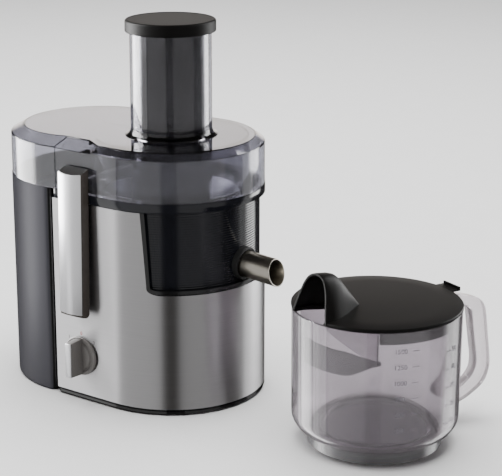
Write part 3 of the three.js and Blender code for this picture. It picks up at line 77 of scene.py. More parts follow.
# The handle's outline: how far beyond the jug's wall, and how high.
HANDLE_OUTSIDE = [(-3.5, 19), (9, 16), (24.5, 19.5), (35.5, 24.5), (44.5, 30), (50, 36), (53, 44),
                  (54, 52), (53, 63), (51, 77), (48.5, 95), (47, 104), (45, 111), (40.5, 117),
                  (34.5, 120.5), (25.5, 123.5), (15, 126.5), (-3.5, 129)]
HANDLE_INSIDE = [(-3.5, 115), (19.5, 114.5), (25.5, 112.5), (28.5, 108.5), (29.5, 103), (31, 93),
                 (34, 74), (36, 62), (36.3, 55), (35, 48), (30.5, 41.5), (24.5, 37), (16.5, 32.5),
                 (-3.5, 25)]

drive = next(j for j in frame["joints"] if j["name"] == "drive_spin")
AXIS = Vector((drive["pos_m"][0], drive["pos_m"][1], 0))
AT_BODY = Matrix.Translation(AXIS)
AT_JUG = (Matrix.Translation(AXIS + Vector((JUG_X, JUG_Y, 0)) * MM)
          @ Matrix.Rotation(JUG_TURN, 4, "Z"))


# ---------------------------------------------------------------- modelling
def deselect():
    if bpy.context.mode != "OBJECT":
        bpy.ops.object.mode_set(mode="OBJECT")
    bpy.ops.object.select_all(action="DESELECT")


def choose(obj):
    deselect()
    obj.select_set(True)
    bpy.context.view_layer.objects.active = obj


def edit(obj):
    choose(obj)
    bpy.ops.object.mode_set(mode="EDIT")


def done():
    obj = bpy.context.object
    bpy.ops.object.mode_set(mode="OBJECT")
    return obj


def pick(obj, test, mode="FACE"):
    """Selects only the faces whose middle and normal pass a test.

    With EDGE it is the edges whose middle, and the edge itself, pass."""
    bpy.ops.mesh.select_mode(type=mode)
    bpy.ops.mesh.select_all(action="DESELECT")
    shape = bmesh.from_edit_mesh(obj.data)
    if mode == "FACE":
        for face in shape.faces:
            face.select_set(bool(test(face.calc_center_median() / MM, face.normal)))
    else:
        for edge in shape.edges:
            middle = (edge.verts[0].co + edge.verts[1].co) / 2
            edge.select_set(bool(test(middle / MM, edge)))
    bmesh.update_edit_mesh(obj.data)


def tidy():
    bpy.ops.mesh.select_mode(type="VERT")
    bpy.ops.mesh.select_all(action="SELECT")
    bpy.ops.mesh.remove_doubles(threshold=WELD)
    bpy.ops.mesh.normals_make_consistent(inside=False)


def trace(corners, closed=True):
    """Draws a line by extruding one corner after another, and leaves edit mode on."""
    deselect()
    bpy.ops.mesh.primitive_plane_add(size=MM, location=(0, 0, 0))
    bpy.ops.object.mode_set(mode="EDIT")
    bpy.ops.mesh.select_mode(type="VERT")
    bpy.ops.mesh.select_all(action="SELECT")
    bpy.ops.mesh.merge(type="CENTER")
    bpy.ops.transform.translate(value=Vector(corners[0]) * MM)
    path = list(corners) + ([corners[0]] if closed else [])
    for here, there in zip(path, path[1:]):
        step = (Vector(there) - Vector(here)) * MM
        bpy.ops.mesh.extrude_region_move(TRANSFORM_OT_translate={"value": step})
    bpy.ops.mesh.select_all(action="SELECT")
    bpy.ops.mesh.remove_doubles(threshold=WELD)
    return bpy.context.object


def spun(profile, steps=ROUND, closed=True, start=0.0, sweep=TURN):
    """Turns (radius, height) pairs about the axis."""
    swing = [(r * math.cos(start), r * math.sin(start), z) for r, z in profile]
    trace(swing, closed)
    bpy.ops.mesh.select_all(action="SELECT")
    bpy.ops.mesh.spin(steps=steps, angle=-sweep, center=(0, 0, 0), axis=(0, 0, 1))
    tidy()
    return done()


def prism(outline, low, high):
    """Fills a closed (x, y) outline and pulls it up."""
    trace([(x, y, low) for x, y in outline])
    bpy.ops.mesh.edge_face_add()
    lift = {"value": (0, 0, (high - low) * MM)}
    bpy.ops.mesh.extrude_region_move(TRANSFORM_OT_translate=lift)
    tidy()
    return done()


def open_top(obj, height, both=False):
    edit(obj)
    pick(obj, lambda at, n: abs(n.z) > 0.9 and (both or at.z > height - 0.01))
    bpy.ops.mesh.delete(type="FACE")
    done()


def block(x0, x1, y0, y1, z0, z1):
    deselect()
    middle = Vector((x0 + x1, y0 + y1, z0 + z1)) / 2 * MM
    bpy.ops.mesh.primitive_cube_add(size=1, location=(0, 0, 0))
    cube = bpy.context.object
    size = Vector((x1 - x0, y1 - y0, z1 - z0)) * MM
    cube.data.transform(Matrix.Translation(middle) @ Matrix.Diagonal(size.to_4d()))
    return cube


def modify(obj, kind, **settings):
    choose(obj)
    step = obj.modifiers.new(kind.title(), kind)
    for key, value in settings.items():
        setattr(step, key, value)
    bpy.ops.object.modifier_apply(modifier=step.name)
    return obj


def combine(obj, other, how):
    modify(obj, "BOOLEAN", object=other, operation=how, solver="EXACT")
    bpy.data.objects.remove(other)


def thicken(obj, thickness):
    """Gives a sheet a wall, inwards from its faces."""
    modify(obj, "SOLIDIFY", thickness=thickness * MM, offset=-1, use_even_offset=True)


def round_edges(obj, radius, segments=3, angle=40):
    return modify(obj, "BEVEL", width=radius * MM, segments=segments, limit_method="ANGLE",
                  angle_limit=math.radians(angle), harden_normals=False)


def upright(obj):
    """Stands what was drawn in the x-y plane up in the x-z plane."""
    obj.data.transform(Matrix.Rotation(math.pi / 2, 4, "X"))


def join(first, *others):
    choose(first)
    for obj in others:
        obj.select_set(True)
    bpy.ops.object.join()
    return first


def finish(obj, name, body, replaced, place=AT_BODY, smooth=32, mirror=False, flat=None):
    """Puts a piece where the record has it, smooths it and hands it to its body.

    Faces that pass the flat test are left out of the smoothing, so seams beside them stay
    crisp."""
    obj.name = name
    obj.data.name = name
    obj.data.transform(place @ Matrix.Diagonal((-1, 1, 1, 1)) if mirror else place)
    if mirror:
        edit(obj)
        bpy.ops.mesh.select_all(action="SELECT")
        bpy.ops.mesh.flip_normals()
        done()
    choose(obj)
    bpy.ops.object.shade_smooth_by_angle(angle=math.radians(smooth))
    if flat:
        edit(obj)
        pick(obj, flat)
        bpy.ops.mesh.faces_shade_flat()
        done()
    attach(obj, body)
    if replaced:
        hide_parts(*replaced)


def spread(at):
    """How far a point lies, level, from the line between the front and rear axes."""
    return Vector((at.x, at.y - min(max(at.y, 0), REAR_Y), 0))


def face_out(obj):
    """Turns an open sheet's faces away from that line."""
    edit(obj)
    pick(obj, lambda at, n: n.dot(spread(at)) < 0)
    bpy.ops.mesh.flip_normals()
    done()


def smooth_line(points, steps=3):
    """Puts a smooth curve through a few corners."""
    ends = [points[0], *points, points[-1]]
    line = []
    for a, b, c, d in zip(ends, ends[1:], ends[2:], ends[3:]):
        for i in range(steps):
            t = i / steps
            line.append(tuple(0.5 * (2 * q + (r - p) * t + (2 * p - 5 * q + 4 * r - w) * t * t
                                     + (3 * q - p - 3 * r + w) * t ** 3)
                              for p, q, r, w in zip(a, b, c, d)))
    return line + [points[-1]]


def arc(x, y, radius, start, end, steps):
    turns = [math.radians(start + (end - start) * i / steps) for i in range(steps + 1)]
    return [(x + radius * math.cos(a), y + radius * math.sin(a)) for a in turns]


def housing_plan(radius, back, corner):
    """Round front, straight sides and a flat back with rounded corners."""
    return (arc(0, 0, radius, 180, 360, ROUND // 2)
            + arc(radius - corner, back - corner, corner, 0, 90, 6)
            + arc(corner - radius, back - corner, corner, 90, 180, 6))


# ---------------------------------------------------------------- materials
def colour(code):
    """Turns an sRGB hex colour into linear light."""
    parts = [int(code[i:i + 2], 16) / 255 for i in (0, 2, 4)]
    linear = [p / 12.92 if p <= 0.04045 else ((p + 0.055) / 1.055) ** 2.4 for p in parts]
    return (*linear, 1)


def node(tree, kind, links=None, **settings):
    """Adds a shader node with its settings, and links or sets its inputs."""
    made = tree.nodes.new("ShaderNode" + kind)
    for key, value in settings.items():
        setattr(made, key, value)
    for socket, source in (links or {}).items():
        if isinstance(source, bpy.types.NodeSocket):
            tree.links.new(source, made.inputs[socket])
        else:
            made.inputs[socket].default_value = source
    return made


def material(name, code, roughness, **sockets):
    """A surface shader with its plain values, and the tree to add patterns to."""
    made = bpy.data.materials.new(name)
    made.use_nodes = True
    shader = made.node_tree.nodes["Principled BSDF"]
    shader.inputs["Base Color"].default_value = colour(code)
    shader.inputs["Roughness"].default_value = roughness
    for socket, value in sockets.items():
        shader.inputs[socket.replace("_", " ")].default_value = value
    return made, made.node_tree, shader


def grain(tree, shader, size, depth, stretch=(1, 1, 1), rough=None, tones=None, detail=3):
    """Moulding or brushing texture: noise of a size in mm, as bump, sheen and tone."""
    place = node(tree, "TexCoord").outputs["Object"]
    scaled = node(tree, "Mapping", {"Vector": place, "Scale": stretch}).outputs["Vector"]
    noise = node(tree, "TexNoise", {"Vector": scaled, "Scale": 1 / (size * MM),
                                    "Detail": detail, "Roughness": 0.6}).outputs["Fac"]
    if depth:
        bump = node(tree, "Bump", {"Height": noise, "Strength": 0.6, "Distance": depth * MM})
        tree.links.new(bump.outputs["Normal"], shader.inputs["Normal"])
    if rough:
        span = node(tree, "MapRange", {"Value": noise, "To Min": rough[0], "To Max": rough[1]})
        tree.links.new(span.outputs["Result"], shader.inputs["Roughness"])
    if tones:
        mix = node(tree, "Mix", {0: noise, 6: colour(tones[0]), 7: colour(tones[1])},
                   data_type="RGBA")
        tree.links.new(mix.outputs[2], shader.inputs["Base Color"])


def clear(tree, shader, facing, edge):
    """Clear plastic lets less through where it is seen along the wall."""
    slant = node(tree, "LayerWeight", {"Blend": 0.35}).outputs["Facing"]
    alpha = node(tree, "MapRange", {"Value": slant, "To Min": facing, "To Max": edge})
    tree.links.new(alpha.outputs["Result"], shader.inputs["Alpha"])


# Stainless sheet brushed round the body: long fine scratches that run level, so that
# lights stretch into upright bands. The real scratches are under 0.1 mm; they are drawn
# 0.5 mm apart so that they show.
STEEL, tree, shader = material("brushed stainless steel", "bdbcbd", 0.36, Metallic=1.0)
grain(tree, shader, 30, 0.01, stretch=(0.5, 0.5, 60), rough=(0.31, 0.41),
      tones=("b4b3b5", "c6c5c6"))
shader.inputs["Anisotropic"].default_value = 0.9
shader.inputs["Anisotropic Rotation"].default_value = 0.25

# Drawn and polished stainless tube: a warmer mirror with faint lengthwise draw lines.
POLISHED, tree, shader = material("polished stainless steel", "b5b0a6", 0.3, Metallic=1.0)
grain(tree, shader, 8, 0, stretch=(6, 0.4, 6), rough=(0.26, 0.36), tones=("aaa59a", "bfbab0"))

# Moulded ABS off a polished tool: deep black with a slight orange peel.
BLACK, tree, shader = material("black gloss ABS", "0c0c0d", 0.16, IOR=1.5)
grain(tree, shader, 5, 0.01, rough=(0.12, 0.2), tones=("0a0a0b", "0f0f10"), detail=0)

# The same ABS off a spark-eroded tool, for tops that hands touch, the pusher's cap and the jug's lid: a dull, fine
# grain. On the clamps' tops it is painted shade, darker than their umber moulding.
SATIN, tree, shader = material("black satin ABS", "0d0c0b", 0.46, IOR=1.5,
                               Specular_IOR_Level=0.15)
grain(tree, shader, 0.6, 0.01, rough=(0.43, 0.53), tones=("060505", "0b0a09"))

# Brown-black gloss moulding of the clamps.
UMBER, tree, shader = material("umber gloss ABS", "38332f", 0.2, IOR=1.53)
grain(tree, shader, 5, 0.01, rough=(0.17, 0.25), tones=("332e2b", "3d3834"))

# The dial is ABS in a lighter grey, off a tool with a fine grain.
DIAL_GREY, tree, shader = material("grey satin ABS", "605d5b", 0.34, IOR=1.5)
grain(tree, shader, 0.6, 0.01, rough=(0.3, 0.4), tones=("5b5856", "656260"))

# Silver lacquer over a moulding: fine flake under a clear coat.
SILVER, tree, shader = material("silver lacquered ABS", "dcdcde", 0.3, Metallic=0.85,
                                Coat_Weight=0.4, Coat_Roughness=0.1)
grain(tree, shader, 0.5, 0, rough=(0.26, 0.36), tones=("cbcbce", "d9d9db"))

# Slate lacquer of the pulp bin: dark blue-grey with a soft upright sheen.
SLATE, tree, shader = material("slate lacquered ABS", "333339", 0.42, IOR=1.5, Metallic=0.3,
                               Specular_IOR_Level=0.3)
grain(tree, shader, 0.8, 0.005, rough=(0.38, 0.47), tones=("303036", "38373d"))

# Clear polycarbonate of the lid, with a faint smoke-grey tint.
CLEAR, tree, shader = material("clear polycarbonate", "bcbbc1", 0.03, IOR=1.5,
                               Transmission_Weight=1.0)
grain(tree, shader, 25, 0, rough=(0.025, 0.05), tones=("b8b7bd", "c0bfc5"))

# The lid's wall is thicker and its inside is washed dull, so it looks a little milky.
HAZY, tree, shader = material("washed polycarbonate", "b9b9c2", 0.04, IOR=1.5,
                              Transmission_Weight=0.97)
grain(tree, shader, 25, 0, rough=(0.04, 0.08), tones=("b5b5be", "bdbdc6"))

# Clear styrene of the jug, with a faint violet cast.
STYRENE, tree, shader = material("clear styrene", "c8c2c8", 0.04, IOR=1.5,
                                 Transmission_Weight=0.92)
grain(tree, shader, 25, 0, rough=(0.03, 0.08), tones=("c4bec4", "ccc6cc"))

# The middle of the jug's floor, inside its ring, is made cloudier and lighter: painted light that lifts the shade
# under the jug.
LIT_FLOOR_STYRENE, tree, shader = material("styrene with painted light", "cbc6ce", 0.12, IOR=1.5,
                                 Transmission_Weight=0.7)
grain(tree, shader, 3, 0.01, rough=(0.1, 0.16), tones=("c7c2ca", "cfcad2"))

# The jug's foot ring is duller, and darker as painted shade for the little light that reaches under the jug.
SHADED_FOOT_STYRENE, tree, shader = material("styrene with painted shade", "858486", 0.2, IOR=1.5,
                                 Transmission_Weight=0.6)
grain(tree, shader, 10, 0, rough=(0.16, 0.24), tones=("808082", "8a898b"))

# The handle is solid styrene, so it looks milky.
MILKY, tree, shader = material("solid styrene", "d3ccd0", 0.12, IOR=1.5,
                               Transmission_Weight=0.72)
grain(tree, shader, 12, 0, rough=(0.09, 0.15), tones=("cdc6ca", "d9d2d6"))

# Smoke polycarbonate: nearly black in the thick pusher and collector.
SMOKE, tree, shader = material("smoke polycarbonate", "101116", 0.12, IOR=1.5)
grain(tree, shader, 20, 0, rough=(0.1, 0.14), tones=("0e0f13", "13141a"))

# Thin smoke polycarbonate of the separator, which lets some light through.
THIN_SMOKE, tree, shader = material("thin smoke polycarbonate", "303239", 0.1, IOR=1.5)
grain(tree, shader, 15, 0, rough=(0.07, 0.13), tones=("2c2e35", "34363d"))
clear(tree, shader, 0.75, 0.95)

# Moulded rubber: dull black with a bloom.
RUBBER, tree, shader = material("moulded rubber", "141414", 0.7, IOR=1.5)
grain(tree, shader, 1.5, 0.03, rough=(0.62, 0.8), tones=("101010", "1a1a1a"))

# Sand-cast and turned alloy of the motor parts.
ALLOY, tree, shader = material("die-cast alloy", "8f9195", 0.45, Metallic=1.0)
grain(tree, shader, 1.2, 0.05, rough=(0.38, 0.55), tones=("85878b", "999b9f"))

# Laminated iron, lacquered against rust.
IRON, tree, shader = material("lacquered laminated iron", "6d6f72", 0.5, Metallic=0.8)
grain(tree, shader, 6, 0.05, stretch=(0.3, 0.3, 8), rough=(0.42, 0.6), tones=("5f6164", "797b7e"))

# Bright zinc on the screws and pins.
ZINC, tree, shader = material("zinc-plated steel", "b9bbb8", 0.35, Metallic=1.0)
grain(tree, shader, 0.8, 0.01, rough=(0.3, 0.42), tones=("aeb0ad", "c4c6c3"))

# Epoxy-glass circuit board under green resist.
BOARD, tree, shader = material("green solder resist", "2d5a3a", 0.4)
grain(tree, shader, 1, 0.01, rough=(0.34, 0.48), tones=("285234", "336342"))

# Etched stainless screen: the holes are 0.3 mm and are drawn as 1.2 mm dots. The dots are dark as painted shade,
# for the dim inside seen through the holes.
SCREEN, tree, shader = material("etched stainless screen", "b6b6b8", 0.3, Metallic=1.0)
place = node(tree, "TexCoord").outputs["Object"]
cells = node(tree, "TexVoronoi", {"Vector": place, "Scale": 1 / (1.2 * MM), "Randomness": 0.15})
holes = node(tree, "MapRange", {"Value": cells.outputs["Distance"], "From Min": 0.25,
                                "From Max": 0.4, "To Min": 0.0, "To Max": 1.0})
mix = node(tree, "Mix", {0: holes.outputs["Result"], 6: colour("2a2a2c"), 7: colour("bdbdbf")},
           data_type="RGBA")
tree.links.new(mix.outputs[2], shader.inputs["Base Color"])

# Screen-printed ink.
INK, tree, shader = material("grey printing ink", "6e6b6b", 0.5)
grain(tree, shader, 0.4, 0, rough=(0.45, 0.6), tones=("646161", "787575"))
RED_INK, tree, shader = material("red printing ink", "b04a3c", 0.5)
grain(tree, shader, 0.4, 0, rough=(0.45, 0.6), tones=("a64436", "ba5244"))
PALE_INK, tree, shader = material("pale printing ink", "6f6c74", 0.5)
grain(tree, shader, 0.4, 0, rough=(0.45, 0.6), tones=("69666e", "75727a"))

BY_SLOT = {
    "brushed_steel": STEEL, "polished_steel": POLISHED, "black_plastic": BLACK,
    "dark_grey_plastic": UMBER, "silver_paint": SILVER, "shell_grey": SLATE,
    "smoke_clear": CLEAR, "jug_clear": STYRENE, "dark_clear": SMOKE, "rubber": RUBBER,
    "cast_alloy": ALLOY, "motor_iron": IRON, "circuit_board": BOARD, "zinc_plated": ZINC,
}
for part in frame["record"]["subparts"]:
    for slot in frame["nodes"][part["node"]].material_slots:
        slot.material = BY_SLOT[part["material_slot"]]


def recoat(obj, slot, test):
    """Puts another of a piece's materials on the faces that pass a test."""
    edit(obj)
    pick(obj, test)
    bpy.context.object.active_material_index = slot
    bpy.ops.object.material_slot_assign()
    done()


def coat(obj, *surfaces):
    """Gives a piece its materials; the first covers it unless faces say otherwise."""
    obj.data.materials.clear()
    for surface in surfaces:
        obj.data.materials.append(surface)


# ---------------------------------------------------------------- steel wrap and window
def window_outline(inset, top):
    """Front view: sides that lean out towards the top and rounded lower corners."""
    half_top = 87.2 - inset * 0.35
    half_low = 85.0 - inset * 0.35
    low = WINDOW_LOW + inset
    round_r = 6 - inset / 2
    corner = arc(half_low - round_r, low + round_r, round_r, 0, -90, 8)
    right = [(half_top, top), *corner]
    return right + [(-x, z) for x, z in reversed(right)]


def window_cutter(inset, top=STEEL_HIGH + 6):
    """The window's outline pushed through the front of the body."""
    cutter = prism(window_outline(inset, top), 0, 2 * BODY_R)
    upright(cutter)
    return cutter


def make_wrap():
    line = [(-BODY_R, 0, STEEL_LOW), (-BODY_R, 0, STEEL_HIGH)]
    trace(line, closed=False)
    bpy.ops.mesh.spin(steps=ROUND, angle=-HALF, center=(0, 0, 0), axis=(0, 0, 1))
    wrap = bpy.context.object
    pick(wrap, lambda at, edge: edge.is_boundary and abs(at.y) < 0.01
         and abs(edge.verts[0].co.z - edge.verts[1].co.z) > MM, "EDGE")
    pull = {"value": (0, STEEL_BACK * MM, 0)}
    bpy.ops.mesh.extrude_region_move(TRANSFORM_OT_translate=pull)
    tidy()
    done()
    face_out(wrap)
    thicken(wrap, SHEET)
    combine(wrap, window_cutter(0), "DIFFERENCE")
    coat(wrap, STEEL)
    finish(wrap, "body_wrap", "base", ["steel_wrap"])


def make_bezel():
    band = spun([(87.4, 117), (91.7, 117), (91.7, STEEL_HIGH), (87.4, STEEL_HIGH)],
                steps=ROUND * 2)
    combine(band, window_cutter(0.3), "INTERSECT")
    combine(band, window_cutter(4.6, STEEL_HIGH + 12), "DIFFERENCE")
    round_edges(band, 0.7, 2, 50)
    coat(band, BLACK)
    finish(band, "window_frame", "base", ["window_bezel"])


def make_collector():
    collar = prism(housing_plan(BODY_R, 77, 5), COLLAR_LOW, COLLAR_TOP)
    open_top(collar, COLLAR_TOP, both=True)
    thicken(collar, 8.4)
    round_edges(collar, 0.6, 2, 50)
    bowl = prism(housing_plan(85.4, 73.6, 9), 124, COLLAR_LOW + 2)
    open_top(bowl, COLLAR_LOW + 2)
    thicken(bowl, 2.0)
    ribs = []
    for i in range(int((COLLAR_LOW - RIB_LOW) / RIB_PITCH)):
        low = RIB_LOW + i * RIB_PITCH
        ribs += [(86.4, low), (86.65, low + RIB_PITCH * 0.25), (86.75, low + RIB_PITCH * 0.5),
                 (86.65, low + RIB_PITCH * 0.75)]
    ribs.append((86.4, COLLAR_LOW))
    front = spun([(85.5, RIB_LOW), *ribs, (85.5, COLLAR_LOW)],
                 start=math.radians(198), sweep=math.radians(144))
    hub = spun([(12.2, 124), (14.4, 124), (14.4, 136), (12.2, 136)], SMALL)
    whole = join(bowl, collar, front, hub)
    coat(whole, SMOKE)
    finish(whole, "juice_bowl", "base", ["juice_collector"])


# ---------------------------------------------------------------- lid
def lid_inset(y):
    stations = [(24, 9.5), (46, 23), (76, 23), (90, 20), (135, 15), (182, 11)]
    if y <= stations[0][0]:
        return stations[0][1]
    for (y0, a), (y1, b) in zip(stations, stations[1:]):
        if y <= y1:
            return a + (b - a) * (y - y0) / (y1 - y0)
    return stations[-1][1]


def along(stations):
    """Pulls the open end of a sweep from one y to the next."""
    for here, there in zip(stations, stations[1:]):
        step = {"value": (0, (there - here) * MM, 0)}
        bpy.ops.mesh.extrude_region_move(TRANSFORM_OT_translate=step)


def racetrack(profile, stations):
    """Sweeps a closed profile round the front, along one side, round the back and home."""
    trace([(-r, 0, z) for r, z in profile])
    bpy.ops.mesh.spin(steps=ROUND // 2, angle=-HALF, center=(0, 0, 0), axis=(0, 0, 1))
    along(stations)
    bpy.ops.mesh.spin(steps=ROUND // 2, angle=-HALF, center=(0, REAR_Y * MM, 0), axis=(0, 0, 1))
    along(stations[::-1])
    bpy.ops.mesh.select_all(action="SELECT")
    bpy.ops.mesh.remove_doubles(threshold=WELD)
    bpy.ops.mesh.dissolve_degenerate(threshold=WELD)
    tidy()
    return done()


def make_lid():
    profile = [(LID_R, LID_LOW), (LID_R, 252.6), (91.2, 253.6), (90.2, 254.4), (83.4, 259.2),
               (82.1, 260), (0, 260), (0, 257.6), (81.2, 257.6), (89.2, 252.2), (89.2, LID_LOW)]
    lid = racetrack(profile, [0, 24, 35, 46, 61, 76, REAR_Y])
    for corner in lid.data.vertices:
        at = corner.co / MM
        out = spread(at)
        middle = at.y - out.y
        if at.z < LID_SHOULDER or out.length < 70:
            continue
        share = min(max((LID_R - out.length) / 9.5, 0), 1)
        out *= 1 - share * (lid_inset(at.y) - 9.5) / out.length
        corner.co = Vector((out.x, middle + out.y, at.z)) * MM
    for side in (-1, 1):
        recess = prism([(LID_R + 4, 24), (LID_R + 4, 72), (LID_R - 0.7, 72), (LID_R - 0.7, 24)],
                       LID_LOW - 5, LID_TOP)
        recess.data.transform(Matrix.Diagonal((side, 1, 1, 1)))
        slope = prism([(4, 22), (4, 73), (-23, 75), (-23, 47)], -1.5, 8)
        tilt = Matrix.Rotation(math.atan2(6, 23), 4, "Y")
        slope.data.transform(Matrix.Translation((LID_R * MM, 0, LID_SHOULDER * MM)) @ tilt)
        slope.data.transform(Matrix.Diagonal((side, 1, 1, 1)))
        if side < 0:
            for cutter in (recess, slope):
                cutter.data.flip_normals()
        combine(lid, recess, "DIFFERENCE")
        combine(lid, slope, "DIFFERENCE")
    tube = spun([(TUBE_BORE, CHUTE_LOW), (TUBE_R, CHUTE_LOW), (TUBE_R, 258), (45.5, 258),
                 (45.5, 260.2), (43.4, 261.0), (41.6, 262.4), (40.5, 264.4), (TUBE_R, 267),
                 (TUBE_R, TUBE_LIP), (39.6, TUBE_TOP), (38.1, TUBE_TOP), (TUBE_BORE, TUBE_LIP)])
    hole = spun([(0, 240), (38.6, 240), (38.6, 270), (0, 270)], closed=False)
    combine(lid, hole, "DIFFERENCE")
    combine(lid, tube, "UNION")
    skirt = spun([(76, LID_LOW), (76, 257.8)], closed=False,
                 start=math.radians(142), sweep=math.radians(256))
    face_out(skirt)
    thicken(skirt, 1.8)
    join(lid, skirt)
    coat(lid, CLEAR, HAZY)
    recoat(lid, 1, lambda at, n: at.z < 253 and spread(at).length > 80)
    finish(lid, "clear_lid", "lid", ["lid"], smooth=10,
           flat=lambda at, n: at.z > 250 and abs(n.z) > 0.9999)


def make_pusher():
    sleeve = spun([(0, PUSHER_LOW), (34.2, PUSHER_LOW), (36.3, 154.4), (37.2, PUSHER_FLOOR),
                   (37.2, TUBE_TOP), (35.0, TUBE_TOP), (35.0, PUSHER_FLOOR), (0, PUSHER_FLOOR)],
                  closed=False)
    coat(sleeve, SMOKE)
    finish(sleeve, "pusher_cup", "pusher", ["pusher_sleeve"])
    cap = spun([(0, CAP_LOW), (32.5, CAP_LOW), (32.5, 352.5), (34.6, 352.5), (34.6, CAP_LOW),
                (43.7, CAP_LOW), (CAP_R, 361.9), (CAP_R, 371.0), (43.9, 371.9), (43.2, 372.6),
                (42.2, CAP_TOP), (41.4, CAP_TOP), (41.0, 372.75), (0, 372.75)], closed=False)
    coat(cap, SATIN)
    finish(cap, "pusher_top", "pusher", ["pusher_cap"])


# ---------------------------------------------------------------- pulp bin
def make_bin():
    plan = (arc(0, REAR_Y, BODY_R, 0, 180, ROUND // 2) + arc(7 - BODY_R, 87, 7, 180, 270, 6)
            + arc(BODY_R - 7, 87, 7, 270, 360, 6))
    shell = prism(plan, 0, COLLAR_TOP)
    open_top(shell, COLLAR_TOP)
    edit(shell)
    pick(shell, lambda at, edge: at.z < 0.01, "EDGE")
    bpy.ops.mesh.bevel(offset=3 * MM, segments=4)
    done()
    thicken(shell, 2.4)
    pocket = block(-40.4, 40.4, 166.6, 177, 149.6, 188.4)
    grip = block(-38, 38, 169, 190, 152, 186)
    combine(pocket, grip_trim(), "INTERSECT")
    combine(shell, pocket, "UNION")
    combine(shell, grip, "DIFFERENCE")
    round_edges(shell, 0.5, 2, 55)
    coat(shell, SLATE, BLACK)
    recoat(shell, 1, lambda at, n: at.y < 83.5 and abs(at.x) > 80)
    finish(shell, "bin_shell", "pulp_bin", ["pulp_bin"])


def grip_trim():
    """Keeps the recess block inside the round back of the bin."""
    return prism(arc(0, REAR_Y, BODY_R - 1.2, 0, 180, ROUND // 2), 100, 205)


# ---------------------------------------------------------------- clamps
def arm_plan(skin):
    """Flat inner face and sides, bowed outer face."""
    edge = ARM_IN + 10 - skin
    bow = [(edge + 3 * (1 - s * s), COVER_HALF * s) for s in (i / 12 - 1 for i in range(1, 24))]
    return [(ARM_IN, -15.4), (edge, -COVER_HALF), *bow, (edge, COVER_HALF), (ARM_IN, 13.6)]


def lean_out(obj):
    """The arm stands a little further off the body at its foot, and its top slopes down."""
    for corner in obj.data.vertices:
        x, y, z = corner.co / MM
        if z > ARM_TOP - 6:
            z += 2.4 - 5.5 * (x - ARM_IN) / 13
        corner.co = Vector((x + 3 * (ARM_TOP - z) / (ARM_TOP - ARM_LOW), y, z)) * MM


def make_arms():
    for side, mirror in (("left", True), ("right", False)):
        core = prism(arm_plan(1.2), ARM_LOW, ARM_TOP)
        heel = [(97.4 + 4.2 * math.cos(a), 94.6 + 4.2 * math.sin(a))
                for a in (math.pi * (1 + i / 16) for i in range(9))]
        trim = prism([*heel, (112, COVER_LOW), (112, ARM_TOP), (90, ARM_TOP), (90, 94.6)], -30, 30)
        upright(trim)
        combine(core, trim, "INTERSECT")
        round_edges(core, 0.5, 2, 30)
        lean_out(core)
        hook = block(91.9, 95, -9, 9, 224, 231)
        join(core, hook)
        core.data.transform(Matrix.Translation((0, SIDE_Y * MM, 0)))
        coat(core, UMBER, SATIN)
        # The clamps' tops take the black satin ABS in place of the umber: painted shade on the tops.
        recoat(core, 1, lambda at, n: n.z > UPWARD and at.z > 200)
        finish(core, side + "_clamp_body", side + "_arm",
               [side + "_arm_core"], mirror=mirror, flat=lambda at, n: n.z > UPWARD)
        skin = prism(arm_plan(0), COVER_LOW, ARM_TOP)
        inside = prism(arm_plan(0.9), 90, ARM_TOP + 5)
        combine(skin, inside, "DIFFERENCE")
        behind = block(80, ARM_IN + 9.8, -30, 30, 80, 250)
        combine(skin, behind, "DIFFERENCE")
        round_edges(skin, 0.25, 2, 30)
        lean_out(skin)
        skin.data.transform(Matrix.Translation((0, SIDE_Y * MM, 0)))
        coat(skin, SILVER)
        finish(skin, side + "_clamp_face", side + "_arm",
               [side + "_arm_cover"], mirror=mirror, flat=lambda at, n: n.z > UPWARD)


# ---------------------------------------------------------------- dial
def make_dial():
    face = spun([(0, 92.3), (19.2, 92.3), (DIAL_R, 92.9), (DIAL_R, 94.6), (19.1, DIAL_FACE),
                 (16.4, DIAL_FACE), (16.1, 94.7), (15.2, 94.4), (14.3, 94.7), (14.0, DIAL_FACE),
                 (0, DIAL_FACE)], FINE, closed=False)
    bar_outline = [(-18.5, 93.4), (18.5, 93.4), (17.6, 110.8), (-17.6, 110.8)]
    bar = prism(bar_outline, -3.5, 3.5)
    upright(bar)
    round_edges(bar, 0.6, 3, 30)
    spindle = spun([(0, 90), (2.9, 90), (2.9, 93), (0, 93)], SMALL, closed=False)
    panels = []
    for side in (1, -1):
        panel = prism([(x, side * y) for x, y in arc(0, 0, 13.4, 24, 156, 24)], 95, 95.9)
        panels.append(round_edges(panel, 0.3, 2, 40))
    knob = join(face, bar, spindle, *panels)
    stand(knob)
    coat(knob, DIAL_GREY)
    finish(knob, "dial_grip", "dial", ["dial_knob"])
    tip = prism([(-17.5, 111.1), (17.5, 111.1), (17.3, 112.5), (-17.3, 112.5)], -3.5, 3.5)
    upright(tip)
    round_edges(tip, 0.4, 3, 30)
    stand(tip)
    coat(tip, SILVER)
    finish(tip, "dial_tip", "dial", ["dial_insert"])


def stand(obj):
    """Lays what was drawn up the z axis out along -X, at the dial's place on the side."""
    lay = Matrix.Rotation(-math.pi / 2, 4, "Y")
    obj.data.transform(Matrix.Translation((0, SIDE_Y * MM, DIAL_Z * MM)) @ lay)


def lettering(word, size, thickness=0.12):
    """Plain sans numerals as a thin solid, drawn in the x-y plane about their middle."""
    deselect()
    bpy.ops.object.text_add(location=(0, 0, 0))
    text = bpy.context.object
    text.data.body = word
    text.data.size = size * MM
    text.data.align_x = "CENTER"
    text.data.align_y = "CENTER"
    text.data.extrude = thickness * MM / 2
    bpy.ops.object.convert(target="MESH")
    return bpy.context.object


